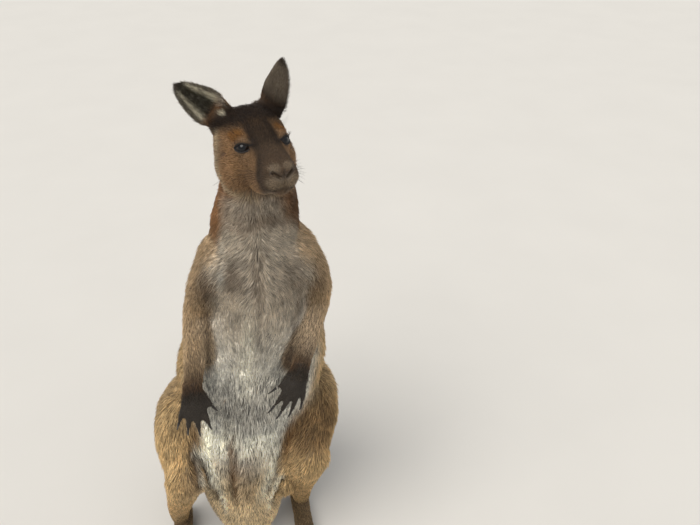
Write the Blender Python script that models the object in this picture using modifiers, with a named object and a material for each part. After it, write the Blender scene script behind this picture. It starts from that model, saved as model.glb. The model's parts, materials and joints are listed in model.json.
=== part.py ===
"""A western grey kangaroo, a grown female, standing upright on both hind feet and its tail.

Metres, +Z up. The animal faces -Y, and +X is its own left. Each mass of the body is a loft through a few
rings. A voxel remesh joins them into one hide, and thin sheets then part that hide into the pieces that a
person would name.
"""

import math

import bmesh
import bpy
import numpy as np
from mathutils import Matrix, Vector

# ---- driving sizes -------------------------------------------------------------------------------------
SWAY = 0.096  # how far the head stands towards the animal's left of the feet
SWAY_START = 0.000  # where the middle of the feet stands
SWAY_FROM, SWAY_TO = 0.05, 0.88  # heights between which the body leans over
STANCE = 0.146  # half the distance between the middles of the hind feet

HIDE_VOXEL = 0.0045  # remesh grid of the trunk, thighs, shanks and tail
FINE_VOXEL = 0.0024  # remesh grid of the head, hands and feet
WHOLE_VOXEL = 0.0026  # remesh grid that joins them all
BODY_EASE, WHOLE_EASE = 22, 4  # rounds of smoothing after each
BODY_TRIANGLES = 1090  # what the hide is reduced to away from the head, hands and feet
DETAIL_TRIANGLES = 2430  # and on them

CUT_GAP = 0.0004  # thickness of the sheets that part the hide
CUT_CROSSING = 0.006  # how far a sheet runs on past the edge it shares with another
FIT_GAP = 0.0004  # clearance where one piece is let into another

HEAD_SEAT = Vector((0.0065, -0.030, 1.038))  # middle of the skull
HEAD_TURN = math.radians(15)  # the face is turned to the animal's left
HEAD_NOD = math.radians(-11)  # and lifted
HEAD_TILT = math.radians(0.5)

EYE_RADIUS = 0.0138
HAND_REACH = 0.055  # how far from the middle of the palm the hide keeps its detail
EYE_SEAT = Vector((0.0302, -0.0330, 0.0180))  # left eye, in the head's own axes

EAR_LENGTH, EAR_WIDTH, EAR_WALL = 0.100, 0.058, 0.0030

FINGER_CLAW, TOE_CLAW = 0.022, 0.036

# ---- rings of the body: x, y, z, half width, depth to the front, depth to the back ---------------------
TRUNK = (
    (0.034, 0.078, 0.054, 0.026, 0.060, 0.025),
    (0.028, 0.074, 0.080, 0.064, 0.120, 0.060),
    (0.018, 0.070, 0.130, 0.088, 0.146, 0.085),
    (0.010, 0.066, 0.200, 0.104, 0.150, 0.110),
    (0.005, 0.060, 0.285, 0.114, 0.153, 0.132),
    (0, 0.055, 0.380, 0.128, 0.158, 0.132),
    (0, 0.050, 0.470, 0.143, 0.156, 0.130),
    (0, 0.046, 0.550, 0.153, 0.146, 0.124),
    (0, 0.038, 0.630, 0.136, 0.130, 0.114),
    (0, 0.028, 0.710, 0.107, 0.111, 0.104),
    (0, 0.018, 0.780, 0.093, 0.096, 0.093),
    (-0.002, 0.008, 0.835, 0.089, 0.083, 0.084),
    (-0.007, -0.002, 0.880, 0.078, 0.072, 0.074),
    (-0.001, -0.010, 0.920, 0.0745, 0.062, 0.064),
    (0.003, -0.014, 0.960, 0.0670, 0.054, 0.056),
    (0.0015, -0.014, 1.000, 0.0580, 0.046, 0.052),
    (-0.001, -0.010, 1.035, 0.0520, 0.036, 0.046),
)
TAIL = (
    (0.010, 0.100, 0.250, 0.080, 0.085, 0.090),
    (0.009, 0.150, 0.175, 0.080, 0.086, 0.088),
    (0.006, 0.220, 0.118, 0.071, 0.078, 0.076),
    (0.002, 0.310, 0.079, 0.060, 0.070, 0.063),
    (-0.003, 0.410, 0.058, 0.051, 0.061, 0.053),
    (-0.009, 0.510, 0.047, 0.043, 0.051, 0.045),
    (-0.016, 0.610, 0.038, 0.035, 0.042, 0.038),
    (-0.023, 0.710, 0.030, 0.028, 0.034, 0.030),
    (-0.029, 0.800, 0.022, 0.021, 0.026, 0.023),
    (-0.033, 0.870, 0.016, 0.014, 0.019, 0.016),
    (-0.035, 0.915, 0.012, 0.006, 0.009, 0.008),
)
THIGH = (
    (0.055, 0.140, 0.410, 0.040, 0.060, 0.060),
    (0.084, 0.115, 0.415, 0.068, 0.100, 0.110),
    (0.114, 0.065, 0.402, 0.084, 0.118, 0.130),
    (0.126, 0.010, 0.385, 0.076, 0.106, 0.118),
    (0.125, -0.042, 0.368, 0.058, 0.082, 0.088),
    (0.125, -0.086, 0.354, 0.042, 0.058, 0.062),
    (0.127, -0.114, 0.345, 0.028, 0.034, 0.034),
)
SHANK = (
    (0.126, -0.085, 0.400, 0.030, 0.034, 0.034),
    (0.128, -0.088, 0.365, 0.042, 0.046, 0.046),
    (0.130, -0.070, 0.315, 0.038, 0.040, 0.052),
    (0.134, -0.040, 0.250, 0.0330, 0.033, 0.046),
    (0.139, -0.008, 0.185, 0.0290, 0.028, 0.034),
    (0.144, 0.025, 0.130, 0.0255, 0.025, 0.026),
    (0.148, 0.048, 0.088, 0.0255, 0.027, 0.025),
    (0.149, 0.056, 0.052, 0.020, 0.022, 0.018),
)
UPPER_ARM = (
    (0.052, -0.008, 0.875, 0.020, 0.026, 0.030),
    (0.066, -0.010, 0.850, 0.036, 0.044, 0.050),
    (0.080, -0.006, 0.812, 0.040, 0.050, 0.052),
    (0.097, 0.002, 0.765, 0.0385, 0.044, 0.044),
    (0.109, 0.012, 0.720, 0.034, 0.036, 0.036),
    (0.115, 0.016, 0.690, 0.028, 0.028, 0.030),
)


def sway(height):
    """How far the lean carries a point at this height to the animal's left."""
    share = np.clip((height - SWAY_FROM) / (SWAY_TO - SWAY_FROM), 0, 1)
    return SWAY_START + SWAY * share * share * (3 - 2 * share)


# ---- mesh helpers --------------------------------------------------------------------------------------
def catmull(rows, per_span):
    """Rows of numbers read from the smooth curve through the given rows."""
    rows = np.array(rows, float)
    ends = np.vstack([2 * rows[0] - rows[1], rows, 2 * rows[-1] - rows[-2]])
    found = []
    for i in range(len(rows) - 1):
        a, b, c, d = ends[i : i + 4]
        for t in np.linspace(0, 1, per_span, endpoint=False):
            square, cube = 2 * a - 5 * b + 4 * c - d, 3 * b - a - 3 * c + d
            found.append(0.5 * (2 * b + (c - a) * t + square * t**2 + cube * t**3))
    return np.vstack([found, rows[-1]])


def loft(rows, front, sides=24, per_span=5, square=2.0):
    """A closed bmesh tube through rows of (x, y, z, half width, depth to the front, depth to the back)."""
    rows = catmull(rows, per_span)
    path = rows[:, :3]
    along = np.gradient(path, axis=0)
    bm = bmesh.new()
    rings = []
    for (x, y, z, wide, fore, aft), way in zip(rows, along):
        way = Vector(way).normalized()
        ahead = (Vector(front) - way * way.dot(Vector(front))).normalized()
        across = way.cross(ahead)
        ring = []
        for k in range(sides):
            turn = 2 * math.pi * k / sides
            c, s = math.cos(turn), math.sin(turn)
            c = math.copysign(abs(c) ** (2 / square), c)
            s = math.copysign(abs(s) ** (2 / square), s)
            depth = max(fore if s > 0 else aft, 0.0008)
            out = across * (c * max(wide, 0.0008)) + ahead * (s * depth)
            ring.append(bm.verts.new(Vector((x, y, z)) + out))
        rings.append(ring)
    for low, high in zip(rings, rings[1:]):
        for k in range(sides):
            bm.faces.new((low[k], low[(k + 1) % sides], high[(k + 1) % sides], high[k]))
    bm.faces.new(rings[0][::-1])
    bm.faces.new(rings[-1])
    bmesh.ops.recalc_face_normals(bm, faces=bm.faces)
    return bm


def ball(middle, radii, turn=Matrix.Identity(3)):
    """A stretched sphere, for a muscle or a pad."""
    bm = bmesh.new()
    bmesh.ops.create_uvsphere(bm, u_segments=24, v_segments=14, radius=1.0)
    shape = turn.to_4x4() @ Matrix.Diagonal((*radii, 1.0))
    bm.transform(Matrix.Translation(middle) @ shape)
    return bm


def mirrored(bm):
    """The same form on the animal's other side."""
    copy = bm.copy()
    copy.transform(Matrix.Scale(-1, 4, (1, 0, 0)))
    bmesh.ops.reverse_faces(copy, faces=copy.faces)
    return copy


def both(bm):
    return [bm, mirrored(bm)]


def joined(name, forms):
    """One object that holds all these bmesh forms."""
    whole = bpy.data.meshes.new(name)
    bm = bmesh.new()
    for form in forms:
        form.to_mesh(whole)
        bm.from_mesh(whole)
        form.free()
    bm.to_mesh(whole)
    bm.free()
    obj = bpy.data.objects.new(name, whole)
    bpy.context.scene.collection.objects.link(obj)
    return obj


def settle(obj):
    """Applies what the object's modifiers make of its mesh."""
    graph = bpy.context.evaluated_depsgraph_get()
    made = bpy.data.meshes.new_from_object(obj.evaluated_get(graph))
    obj.modifiers.clear()
    obj.data = made
    return obj


def fused(name, forms, voxel, rounds):
    """The forms as one closed surface, its hollows eased by so many rounds of smoothing."""
    obj = joined(name, forms)
    remesh = obj.modifiers.new("Join", "REMESH")
    remesh.mode = "VOXEL"
    remesh.voxel_size = voxel
    ease = obj.modifiers.new("Ease", "SMOOTH")
    ease.factor = 0.5
    ease.iterations = rounds
    return settle(obj)


def as_bmesh(obj):
    bm = bmesh.new()
    bm.from_mesh(obj.data)
    bpy.data.objects.remove(obj)
    return bm


# ---- the masses ----------------------------------------------------------------------------------------
def head_axes():
    """From the head's own axes to the body's."""
    turn = Matrix.Rotation(HEAD_TURN, 4, "Z")
    nod = Matrix.Rotation(HEAD_NOD, 4, "X")
    tilt = Matrix.Rotation(HEAD_TILT, 4, "Y")
    return Matrix.Translation(HEAD_SEAT) @ turn @ nod @ tilt


SKULL = (
    (0, 0.082, 0.006, 0.022, 0.026, 0.024),
    (0, 0.068, 0.006, 0.044, 0.046, 0.042),
    (0, 0.042, 0.004, 0.0600, 0.0670, 0.0540),
    (0, 0.014, 0.002, 0.0610, 0.0630, 0.0575),
    (0, -0.014, -0.001, 0.0500, 0.0510, 0.0550),
    (0, -0.040, -0.005, 0.0400, 0.0400, 0.0480),
    (0, -0.064, -0.010, 0.0330, 0.0320, 0.0400),
    (0, -0.086, -0.014, 0.0292, 0.0270, 0.0340),
    (0, -0.103, -0.017, 0.0278, 0.0230, 0.0290),
    (0, -0.114, -0.018, 0.0218, 0.0165, 0.0215),
    (0, -0.120, -0.019, 0.0110, 0.0080, 0.0100),
)


def head_form():
    skull = loft(SKULL, (0, 0, 1), square=2.15)
    cheek = ball((0.036, 0.014, -0.021), (0.032, 0.044, 0.045))
    brow = ball((0.0330, -0.022, 0.0315), (0.0130, 0.024, 0.0085))
    whisker_pad = ball((0.0130, -0.098, -0.020), (0.0160, 0.024, 0.0165))
    chin = ball((0, -0.088, -0.040), (0.0165, 0.024, 0.0100))
    jaw = ball((0.016, -0.045, -0.040), (0.0165, 0.046, 0.0140))
    ear_root = ball((0.031, 0.048, 0.044), (0.029, 0.026, 0.028))
    forms = [skull, chin]
    for paired in (cheek, brow, whisker_pad, jaw, ear_root):
        forms += both(paired)
    head = fused("head_form", forms, FINE_VOXEL, 5)
    head.data.transform(head_axes())
    return as_bmesh(head)


FOREARM = (  # share of the way from elbow to wrist, half width, depth to the front, depth to the back
    (-0.10, 0.018, 0.022, 0.020),
    (0.00, 0.0275, 0.030, 0.031),
    (0.22, 0.0285, 0.030, 0.030),
    (0.50, 0.0245, 0.026, 0.026),
    (0.80, 0.0190, 0.020, 0.020),
    (1.00, 0.0170, 0.017, 0.017),
    (1.12, 0.0150, 0.013, 0.013),
)


def forearm_form(elbow, wrist):
    rows = [(*elbow.lerp(wrist, share), wide, fore, aft) for share, wide, fore, aft in FOREARM]
    return loft(rows, (0, -0.3, 1))


FINGERS = (  # spread in degrees, root along the palm, root across it, length, thickness
    (29, 0.020, 0.0185, 0.0245, 0.0063),
    (13, 0.037, 0.0145, 0.037, 0.0060),
    (2, 0.041, 0.0040, 0.040, 0.0060),
    (-9, 0.039, -0.0075, 0.037, 0.0059),
    (-20, 0.032, -0.0175, 0.031, 0.0056),
)


def hand_parts(side, wrist, way, face, curl):
    """The palm and fingers as forms, and each claw as rows. way is down the hand, face out of its back."""
    way = Vector(way).normalized()
    face = (Vector(face) - way * way.dot(Vector(face))).normalized()
    inner = way.cross(face) * -1  # towards the thumb
    if inner.x * side > 0:
        inner = -inner
    wrist = Vector(wrist)
    palm_rows = [
        (*(wrist + way * t), wide, thick, thick)
        for t, wide, thick in (
            (-0.020, 0.0165, 0.0150),
            (0.000, 0.0180, 0.0155),
            (0.016, 0.0225, 0.0155),
            (0.031, 0.0240, 0.0135),
            (0.044, 0.0190, 0.0090),
        )
    ]
    forms, claws = [loft(palm_rows, face)], []
    for spread, root_along, root_across, length, thick in FINGERS:
        turn = math.radians(spread)
        root = wrist + way * (root_along - 0.008) + inner * root_across
        first = way * math.cos(turn) + inner * math.sin(turn)
        bent = (first - face * curl).normalized()
        knuckle = root + first * (length * 0.55)
        tip = knuckle + bent * (length * 0.62)
        rows = [
            (*(root - first * 0.006), thick, thick, thick),
            (*root, thick * 1.12, thick * 1.1, thick * 1.1),
            (*knuckle, thick * 1.06, thick * 1.05, thick),
            (*tip, thick * 0.80, thick * 0.8, thick * 0.8),
            (*(tip + bent * thick * 0.7), thick * 0.3, thick * 0.3, thick * 0.3),
        ]
        forms.append(loft(rows, face, sides=14, per_span=4))
        reach, drop = FINGER_CLAW, (bent - face * 0.55).normalized()
        claws.append(
            [
                (*(tip - bent * thick * 0.2), 0.0030, 0.0038, 0.0038),
                (*(tip + bent * reach * 0.30), 0.0027, 0.0035, 0.0033),
                (*(tip + bent * reach * 0.50 + drop * reach * 0.18), 0.0019, 0.0026, 0.0024),
                (*(tip + bent * reach * 0.55 + drop * reach * 0.50), 0.0004, 0.0006, 0.0005),
            ]
        )
    return forms, claws, face


TOES = (  # name, root along the foot and across it, length, thickness, rise of the root, turn in degrees
    ("4", 0.205, 0.004, 0.078, 0.0135, 0.0150, 0),
    ("5", 0.185, 0.0235, 0.056, 0.0095, 0.0115, 9),
    ("3", 0.178, -0.0135, 0.046, 0.0062, 0.0110, -3),
    ("2", 0.172, -0.0230, 0.043, 0.0058, 0.0105, -6),
)
HEEL_Y = 0.102


def rise_by(height):
    return Vector((0, 0, height))


def foot_parts():
    """The left foot and toes as forms, lying along -Y, and each claw as rows."""
    x = STANCE
    sole = [
        (x, HEEL_Y + 0.010, 0.030, 0.008, 0.010, 0.010),
        (x, HEEL_Y, 0.029, 0.0195, 0.024, 0.027),
        (x, HEEL_Y - 0.030, 0.031, 0.0215, 0.030, 0.032),
        (x, HEEL_Y - 0.075, 0.024, 0.0205, 0.023, 0.026),
        (x, HEEL_Y - 0.130, 0.0195, 0.0235, 0.018, 0.021),
        (x, HEEL_Y - 0.180, 0.0175, 0.0300, 0.0165, 0.019),
        (x, HEEL_Y - 0.212, 0.0150, 0.0270, 0.0135, 0.0165),
        (x, HEEL_Y - 0.230, 0.0135, 0.0150, 0.008, 0.010),
    ]
    forms, claws = [loft(sole, (0, 0, 1), square=2.3)], []
    for _, root_along, root_across, length, thick, rise, turn in TOES:
        turn = math.radians(turn)
        way = Vector((math.sin(turn), -math.cos(turn), 0))
        root = Vector((x + root_across, HEEL_Y - root_along, rise))
        rows = [
            (*(root - way * 0.015), thick * 0.9, thick * 0.9, thick * 1.0),
            (*(root + way * length * 0.15), thick * 1.0, thick * 0.95, thick * 1.15),
            (*(root + way * length * 0.55 + rise_by(0.002)), thick * 0.82, thick * 0.85, thick * 1.1),
            (*(root + way * length * 0.85 + rise_by(0.0005)), thick * 0.86, thick * 0.80, thick * 1.15),
            (*(root + way * length + rise_by(-0.001)), thick * 0.5, thick * 0.5, thick * 0.6),
        ]
        forms.append(loft(rows, (0, 0, 1), sides=16, per_span=4))
        reach = TOE_CLAW * (thick / 0.0135) ** 0.6
        tip = root + way * length * 0.90 + rise_by(thick * 0.30)
        middle = tip + way * reach * 0.35 + rise_by(thick * 0.08)
        low = tip + way * reach * 0.72 - rise_by(thick * 0.10)
        claws.append(
            [
                (*tip, thick * 0.46, thick * 0.50, thick * 0.44),
                (*middle, thick * 0.42, thick * 0.44, thick * 0.40),
                (*low, thick * 0.26, thick * 0.28, thick * 0.24),
                (*(tip + way * reach - rise_by(thick * 0.55)), 0.0008, 0.0008, 0.0008),
            ]
        )
    return forms, claws


def ear_form():
    """One ear in its own axes: it grows along +Z from its root and opens towards -Y."""
    along, across = 12, 8
    bm = bmesh.new()
    grid = []
    for i in range(along + 1):
        t = i / along
        rise = EAR_LENGTH * t
        # A pointed leaf, widest low down, on a short tube.
        leaf = ((t + 0.30) / 1.30) ** 0.40 * max(1 - t, 0.004) ** 0.54 / 0.605
        half = EAR_WIDTH / 2 * leaf
        wrap = math.radians(235 - 130 * min(1.0, t / 0.45) ** 0.8)  # how far the leaf curls into a cup
        radius = 2 * half / wrap * (1.0 + 0.35 * (1 - t))
        row = []
        for j in range(across + 1):
            turn = (j / across - 0.5) * wrap
            depth = 0.006 + 0.012 * t * t - radius * (1 - math.cos(turn))
            row.append(bm.verts.new((radius * math.sin(turn), depth, rise)))
        grid.append(row)
    for low, high in zip(grid, grid[1:]):
        for j in range(across):
            bm.faces.new((low[j], low[j + 1], high[j + 1], high[j]))
    bmesh.ops.remove_doubles(bm, verts=bm.verts, dist=0.0002)
    bmesh.ops.recalc_face_normals(bm, faces=bm.faces)
    return bm


# ---- the arms as they hang: elbow, wrist, the way the hand points and the way its back faces -----------
ARMS = {
    "l": (
        Vector((0.115, 0.014, 0.700)),
        Vector((0.070, -0.109, 0.626)),
        (-0.30, -0.50, -0.81),
        (0.25, -0.80, 0.50),
    ),
    "r": (
        Vector((-0.116, 0.014, 0.700)),
        Vector((-0.126, -0.104, 0.607)),
        (0.10, -0.44, -0.90),
        (-0.15, -0.86, 0.45),
    ),
}
SIDES = {"l": 1, "r": -1}

EARS = {  # root in the head's axes, then the way the ear points and the way it opens, in the body's
    "l": (Vector((0.031, 0.046, 0.049)), Vector((0.51, -0.05, 0.86)), Vector((0.72, 0.60, -0.45))),
    "r": (Vector((-0.0265, 0.044, 0.048)), Vector((-0.80, 0.17, 0.57)), Vector((0.10, -0.98, 0.20))),
}


def lean(mesh_or_bmesh):
    """Carries a form from the upright body into its lean."""
    verts = getattr(mesh_or_bmesh, "verts", None) or mesh_or_bmesh.vertices
    for v in verts:
        v.co.x += sway(v.co.z)


def claw_form(rows, front, per_span=1):
    return loft(rows, front, sides=6, per_span=per_span)


def body_forms():
    """Every part of the hide but the head, hands and feet."""
    inward = (0.009, 0.010, 0.007, 0.003, 0, 0)  # the left shoulder is drawn in, under the turned head
    shoulder = [(row[0] - by, *row[1:]) for row, by in zip(UPPER_ARM, inward)]
    slimmer = [(x * 0.98, y, z, wide * 0.94, fore, aft) for x, y, z, wide, fore, aft in THIGH]
    forms = [
        loft(THIGH, (0, -0.7, 0.7), sides=24),
        mirrored(loft(slimmer, (0, -0.7, 0.7), sides=24)),
        loft(TRUNK, (0, -1, 0), sides=32),
        loft(TAIL, (0, -0.75, -0.65), sides=24),
        ball((0, 0.125, 0.330), (0.110, 0.085, 0.130)),
        ball((0.088, 0.108, 0.400), (0.070, 0.072, 0.125)),
        ball((-0.080, 0.108, 0.385), (0.064, 0.070, 0.112)),
        loft(shoulder, (0, -1, 0), sides=20),
        mirrored(loft(UPPER_ARM, (0, -1, 0), sides=20)),
    ]
    for paired in (
        loft(SHANK, (0, -1, -0.3), sides=20),
        ball((0.072, -0.025, 0.335), (0.050, 0.072, 0.064)),
    ):
        forms += both(paired)
    for elbow, wrist, _, _ in ARMS.values():
        forms.append(forearm_form(elbow, wrist))
    return forms


# ---- parting the hide ----------------------------------------------------------------------------------
CUTS = (  # name, two corners of a thin sheet, and the way from them, or from each of them, to its far edge
    ("head", (-0.085, -0.095, 0.9895), (0.105, -0.095, 0.9895), (0, 0.1746, 0.045)),
    ("neck", (-0.110, -0.108, 0.893), (0.110, -0.108, 0.893), (0, 0.216, 0.044)),
    ("tail_root", (-0.100, 0.103, 0.054), (0.110, 0.103, 0.054), (0, 0.164, 0.202)),
    ("tail_middle", (-0.060, 0.463, -0.020), (0.060, 0.463, -0.020), (0, 0.014, 0.140)),
    ("inner_shank_l", (0.101, -0.110, 0.2775), (0.129, 0.130, 0.2175), (0.004, 0, -0.165)),
)
PAIRED_CUTS = (
    ("thigh", (0.0485, -0.22, 0.305), (0.1365, 0.22, 0.195), (0.0145, 0, 0.082), (0.076, 0, 0.430)),
    ("over_thigh", (0.063, -0.22, 0.387), (0.2125, 0.22, 0.625), (0.100, 0, 0.020)),
    ("under_thigh", (0.0485, -0.22, 0.305), (0.1365, 0.22, 0.195), (0.150, 0, 0)),
    ("ankle", (0.100, -0.004, 0.074), (0.195, -0.004, 0.074), (0, 0.108, 0.028)),
)
ARM_CUTS = {  # the lower front and lower back corners of the sheet between each arm and the chest
    "l": ((0.058, -0.090, 0.600), (0.106, 0.090, 0.711)),
    "r": ((-0.079, -0.092, 0.588), (-0.101, 0.090, 0.707)),
}
ARM_INWARD, ARM_RISE = 0.028, 0.220  # how far in and how far up that sheet runs
ELBOW_BACK = (0.088, 0.052, 0.672)  # inner back corner of the sheet across the elbow
ELBOW_FORWARD, ELBOW_RISE = 0.122, 0.070  # and how far it runs forward and up
SEEDS = {  # about the middle of each piece of the hide
    "head": (0.010, -0.045, 1.045),
    "neck": (0, -0.005, 0.955),
    "trunk": (0, 0.050, 0.480),
    "tail_base": (0, 0.260, 0.110),
    "tail_tip": (-0.015, 0.580, 0.040),
}
PAIRED_SEEDS = {
    "thigh": (0.140, 0.020, 0.390),
    "shank": (0.140, -0.010, 0.190),
    "foot": (0.146, -0.030, 0.025),
    "upper_arm": (0.096, 0.004, 0.775),
}


def sheet(name, a, b, reach, reach_b=None, cells=2):
    """A thin sheet across the hide, from the edge a to b as far as reach carries it, in the body's lean."""
    a, b, reach, reach_b = (Vector(v) for v in (a, b, reach, reach_b or reach))
    facing = (b - a).cross(reach + reach_b).normalized() * (CUT_GAP / 2)
    a, b = a - reach.normalized() * CUT_CROSSING, b - reach_b.normalized() * CUT_CROSSING
    reach, reach_b = (way + way.normalized() * CUT_CROSSING for way in (reach, reach_b))
    bm = bmesh.new()
    faces = []
    for off in (-facing, facing):
        rows = []
        for i in range(cells + 1):
            start, way = a.lerp(b, i / cells) + off, reach.lerp(reach_b, i / cells)
            rows.append([bm.verts.new(start + way * (j / cells)) for j in range(cells + 1)])
        faces.append(rows)
        for i in range(cells):
            for j in range(cells):
                near, far, across, up = rows[i][j], rows[i + 1][j + 1], rows[i + 1][j], rows[i][j + 1]
                for corners in ((near, across, far), (near, far, up)):
                    bm.faces.new(corners if off is facing else corners[::-1])
    low, high = faces
    rim = [(i, 0) for i in range(cells)] + [(cells, j) for j in range(cells)]
    rim += [(i, cells) for i in range(cells, 0, -1)] + [(0, j) for j in range(cells, 0, -1)]
    for (i, j), (k, m) in zip(rim, rim[1:] + rim[:1]):
        bm.faces.new((low[i][j], low[k][m], high[k][m], high[i][j]))
    lean(bm)
    bmesh.ops.recalc_face_normals(bm, faces=bm.faces)
    return joined("Cut_" + name, [bm])


def arm_sheets(tag, elbow, wrist, way):
    """The sheets that part one arm from the chest, and its forearm and hand from the rest of it."""
    side = SIDES[tag]
    low_front, low_back = (Vector(at) for at in ARM_CUTS[tag])
    rise = Vector((-side * ARM_INWARD, 0, ARM_RISE))
    outward = Vector((side * 0.100, 0, 0))
    back = Vector((side * ELBOW_BACK[0], *ELBOW_BACK[1:]))
    inward = (low_front.x - low_back.x) * ELBOW_FORWARD / (low_back.y - low_front.y)
    forward = Vector((inward - side * 0.012, -ELBOW_FORWARD, ELBOW_RISE))
    down = ((wrist - elbow).normalized() + way.normalized()).normalized()
    across = (Vector((1, 0, 0)) - down * down.x).normalized() * 0.032
    along = down.cross(across)
    return [
        sheet(f"arm_{tag}", low_front, low_back, rise),
        sheet(f"under_arm_{tag}", low_front, low_back, outward),
        sheet(f"over_arm_{tag}", low_front + rise, low_back + rise, outward + Vector((0, 0, 0.030))),
        sheet(f"elbow_{tag}", back, back + outward, forward),
        sheet(f"wrist_{tag}", wrist - across - along, wrist + across - along, along * 2),
    ]


def thinned(obj, spared, share):
    """Decimates the object to this share of its faces, but not where spared() is true of a vertex."""
    group = obj.vertex_groups.new(name="spared")
    group.add([v.index for v in obj.data.vertices if spared(v.co)], 1.0, "REPLACE")
    fewer = obj.modifiers.new("Fewer", "DECIMATE")
    fewer.ratio = share
    fewer.vertex_group = group.name
    fewer.invert_vertex_group = True
    settle(obj)
    obj.vertex_groups.clear()


# ---- assembly ------------------------------------------------------------------------------------------
def hand_and_foot_forms():
    """The hands and feet as fused forms, and every claw by name."""
    forms, claws = [], {}
    for tag, (_, wrist, way, face) in ARMS.items():
        parts, rows, front = hand_parts(SIDES[tag], wrist, way, face, curl=0.35)
        forms.append(as_bmesh(fused("hand_form", parts, FINE_VOXEL, 1)))
        for digit, row in enumerate(rows, 1):
            claws[f"claw_hand_{tag}_{digit}"] = claw_form(row, front)
    parts, rows = foot_parts()
    foot = as_bmesh(fused("foot_form", parts, FINE_VOXEL, 2))
    forms += both(foot)
    for (toe, *_), row in zip(TOES, rows):
        claw = claw_form(row, (0, 0, 1), per_span=2)
        claws[f"claw_foot_l_{toe}"] = claw
        claws[f"claw_foot_r_{toe}"] = mirrored(claw)
    return forms, claws


def part_hide(hide):
    """Cuts the hide flat at the floor and apart along the slabs, and returns the loose pieces' meshes."""
    floor = ball((0, 0, 0), (1, 1, 1))
    floor.clear()
    bmesh.ops.create_cube(floor, size=1.0)
    floor.transform(Matrix.Translation((0, 0.2, -0.1)) @ Matrix.Diagonal((1.0, 2.0, 0.2, 1.0)))
    cutters = [joined("Cut_floor", [floor])]
    for cut in CUTS:
        cutters.append(sheet(*cut))
    for name, *corners in PAIRED_CUTS:
        for tag, side in SIDES.items():
            cutters.append(sheet(f"{name}_{tag}", *((side * at[0], *at[1:]) for at in corners)))
    for tag, (elbow, wrist, way, _) in ARMS.items():
        cutters += arm_sheets(tag, elbow, wrist, Vector(way))
    for cutter in cutters:
        cut = hide.modifiers.new(cutter.name, "BOOLEAN")
        cut.operation = "DIFFERENCE"
        cut.solver = "MANIFOLD"  # EXACT doubles faces where two sheets cross
        cut.object = cutter
        settle(hide)
    for cutter in cutters:
        bpy.data.objects.remove(cutter)
    return as_bmesh(hide)


def loose_pieces(bm):
    """The separate bodies of a mesh, each as its own bmesh."""
    left, found = set(bm.faces), []
    while left:
        edge = [left.pop()]
        body = set(edge)
        while edge:
            face = edge.pop()
            for loop in face.edges:
                for other in loop.link_faces:
                    if other in left:
                        left.discard(other)
                        body.add(other)
                        edge.append(other)
        found.append(body)
    pieces = []
    for body in found:
        piece = bmesh.new()
        moved = {}
        for face in body:
            for v in face.verts:
                if v not in moved:
                    moved[v] = piece.verts.new(v.co)
        for face in body:
            piece.faces.new([moved[v] for v in face.verts])
        pieces.append(piece)
    return pieces


def volume_and_middle(bm):
    volume, middle = 0.0, Vector()
    for face in bm.faces:
        a = face.verts[0].co
        for i in range(1, len(face.verts) - 1):
            b, c = face.verts[i].co, face.verts[i + 1].co
            share = a.dot(b.cross(c)) / 6
            volume += share
            middle += (a + b + c) * share / 4
    return volume, middle / volume


def seeds():
    """Each piece of the hide and a point in it, in the leaning body."""
    named = {name: Vector(at) for name, at in SEEDS.items()}
    for name, at in PAIRED_SEEDS.items():
        for tag, side in SIDES.items():
            named[f"{name}_{tag}"] = Vector((at[0] * side, *at[1:]))
    for tag, (elbow, wrist, way, _) in ARMS.items():
        named[f"forearm_{tag}"] = elbow.lerp(wrist, 0.5)
        named[f"hand_{tag}"] = wrist + Vector(way).normalized() * 0.03
    for at in named.values():
        at.x += sway(at.z)
    return named


def named_pieces(pieces):
    """Gives every loose piece the name of the seed its middle is nearest to."""
    named = {}
    wanted = seeds()
    for piece in pieces:
        _, middle = volume_and_middle(piece)
        name = min(wanted, key=lambda n: (wanted[n] - middle).length)
        if name in named:
            raise ValueError(f"two loose pieces are nearest to {name}")
        named[name] = piece
    if len(named) != len(wanted):
        raise ValueError(f"no loose piece for {sorted(set(wanted) - set(named))}")
    return named


def cutters_collection():
    found = bpy.data.collections.get("Cutters")
    if not found:
        found = bpy.data.collections.new("Cutters")
        found.hide_render = True
        bpy.context.scene.collection.children.link(found)
    return found


def as_cutter(obj, name, swollen):
    """A hidden copy of the object, a little larger all round, to cut room for it out of its neighbour."""
    copy = obj.copy()
    copy.data = obj.data.copy()
    copy.name = name
    for holder in list(copy.users_collection):
        holder.objects.unlink(copy)
    cutters_collection().objects.link(copy)
    grow = copy.modifiers.new("Room", "DISPLACE")
    grow.strength = swollen
    grow.mid_level = 0.0
    copy.hide_render = True
    copy.display_type = "WIRE"
    return copy


def cut_from(obj, cutter):
    cut = obj.modifiers.new("Less_" + cutter.name, "BOOLEAN")
    cut.operation = "DIFFERENCE"
    cut.solver = "EXACT"
    cut.object = cutter


def linear(colour):
    shares = [value / 255 for value in colour]
    return [(c / 12.92 if c <= 0.04045 else ((c + 0.055) / 1.055) ** 2.4) for c in shares]


COLOURS = {  # sRGB and roughness of each kind of piece
    "head": ((92, 74, 55), 0.85),
    "neck": ((112, 92, 70), 0.90),
    "trunk": ((140, 124, 104), 0.90),
    "thigh": ((152, 126, 90), 0.90),
    "shank": ((138, 118, 92), 0.90),
    "foot": ((72, 62, 50), 0.85),
    "tail": ((120, 102, 80), 0.90),
    "upper": ((116, 100, 80), 0.90),
    "forearm": ((84, 68, 52), 0.88),
    "hand": ((40, 37, 34), 0.80),
    "ear": ((78, 70, 62), 0.85),
    "eye": ((24, 18, 14), 0.08),
    "claw": ((30, 28, 26), 0.35),
}


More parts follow.
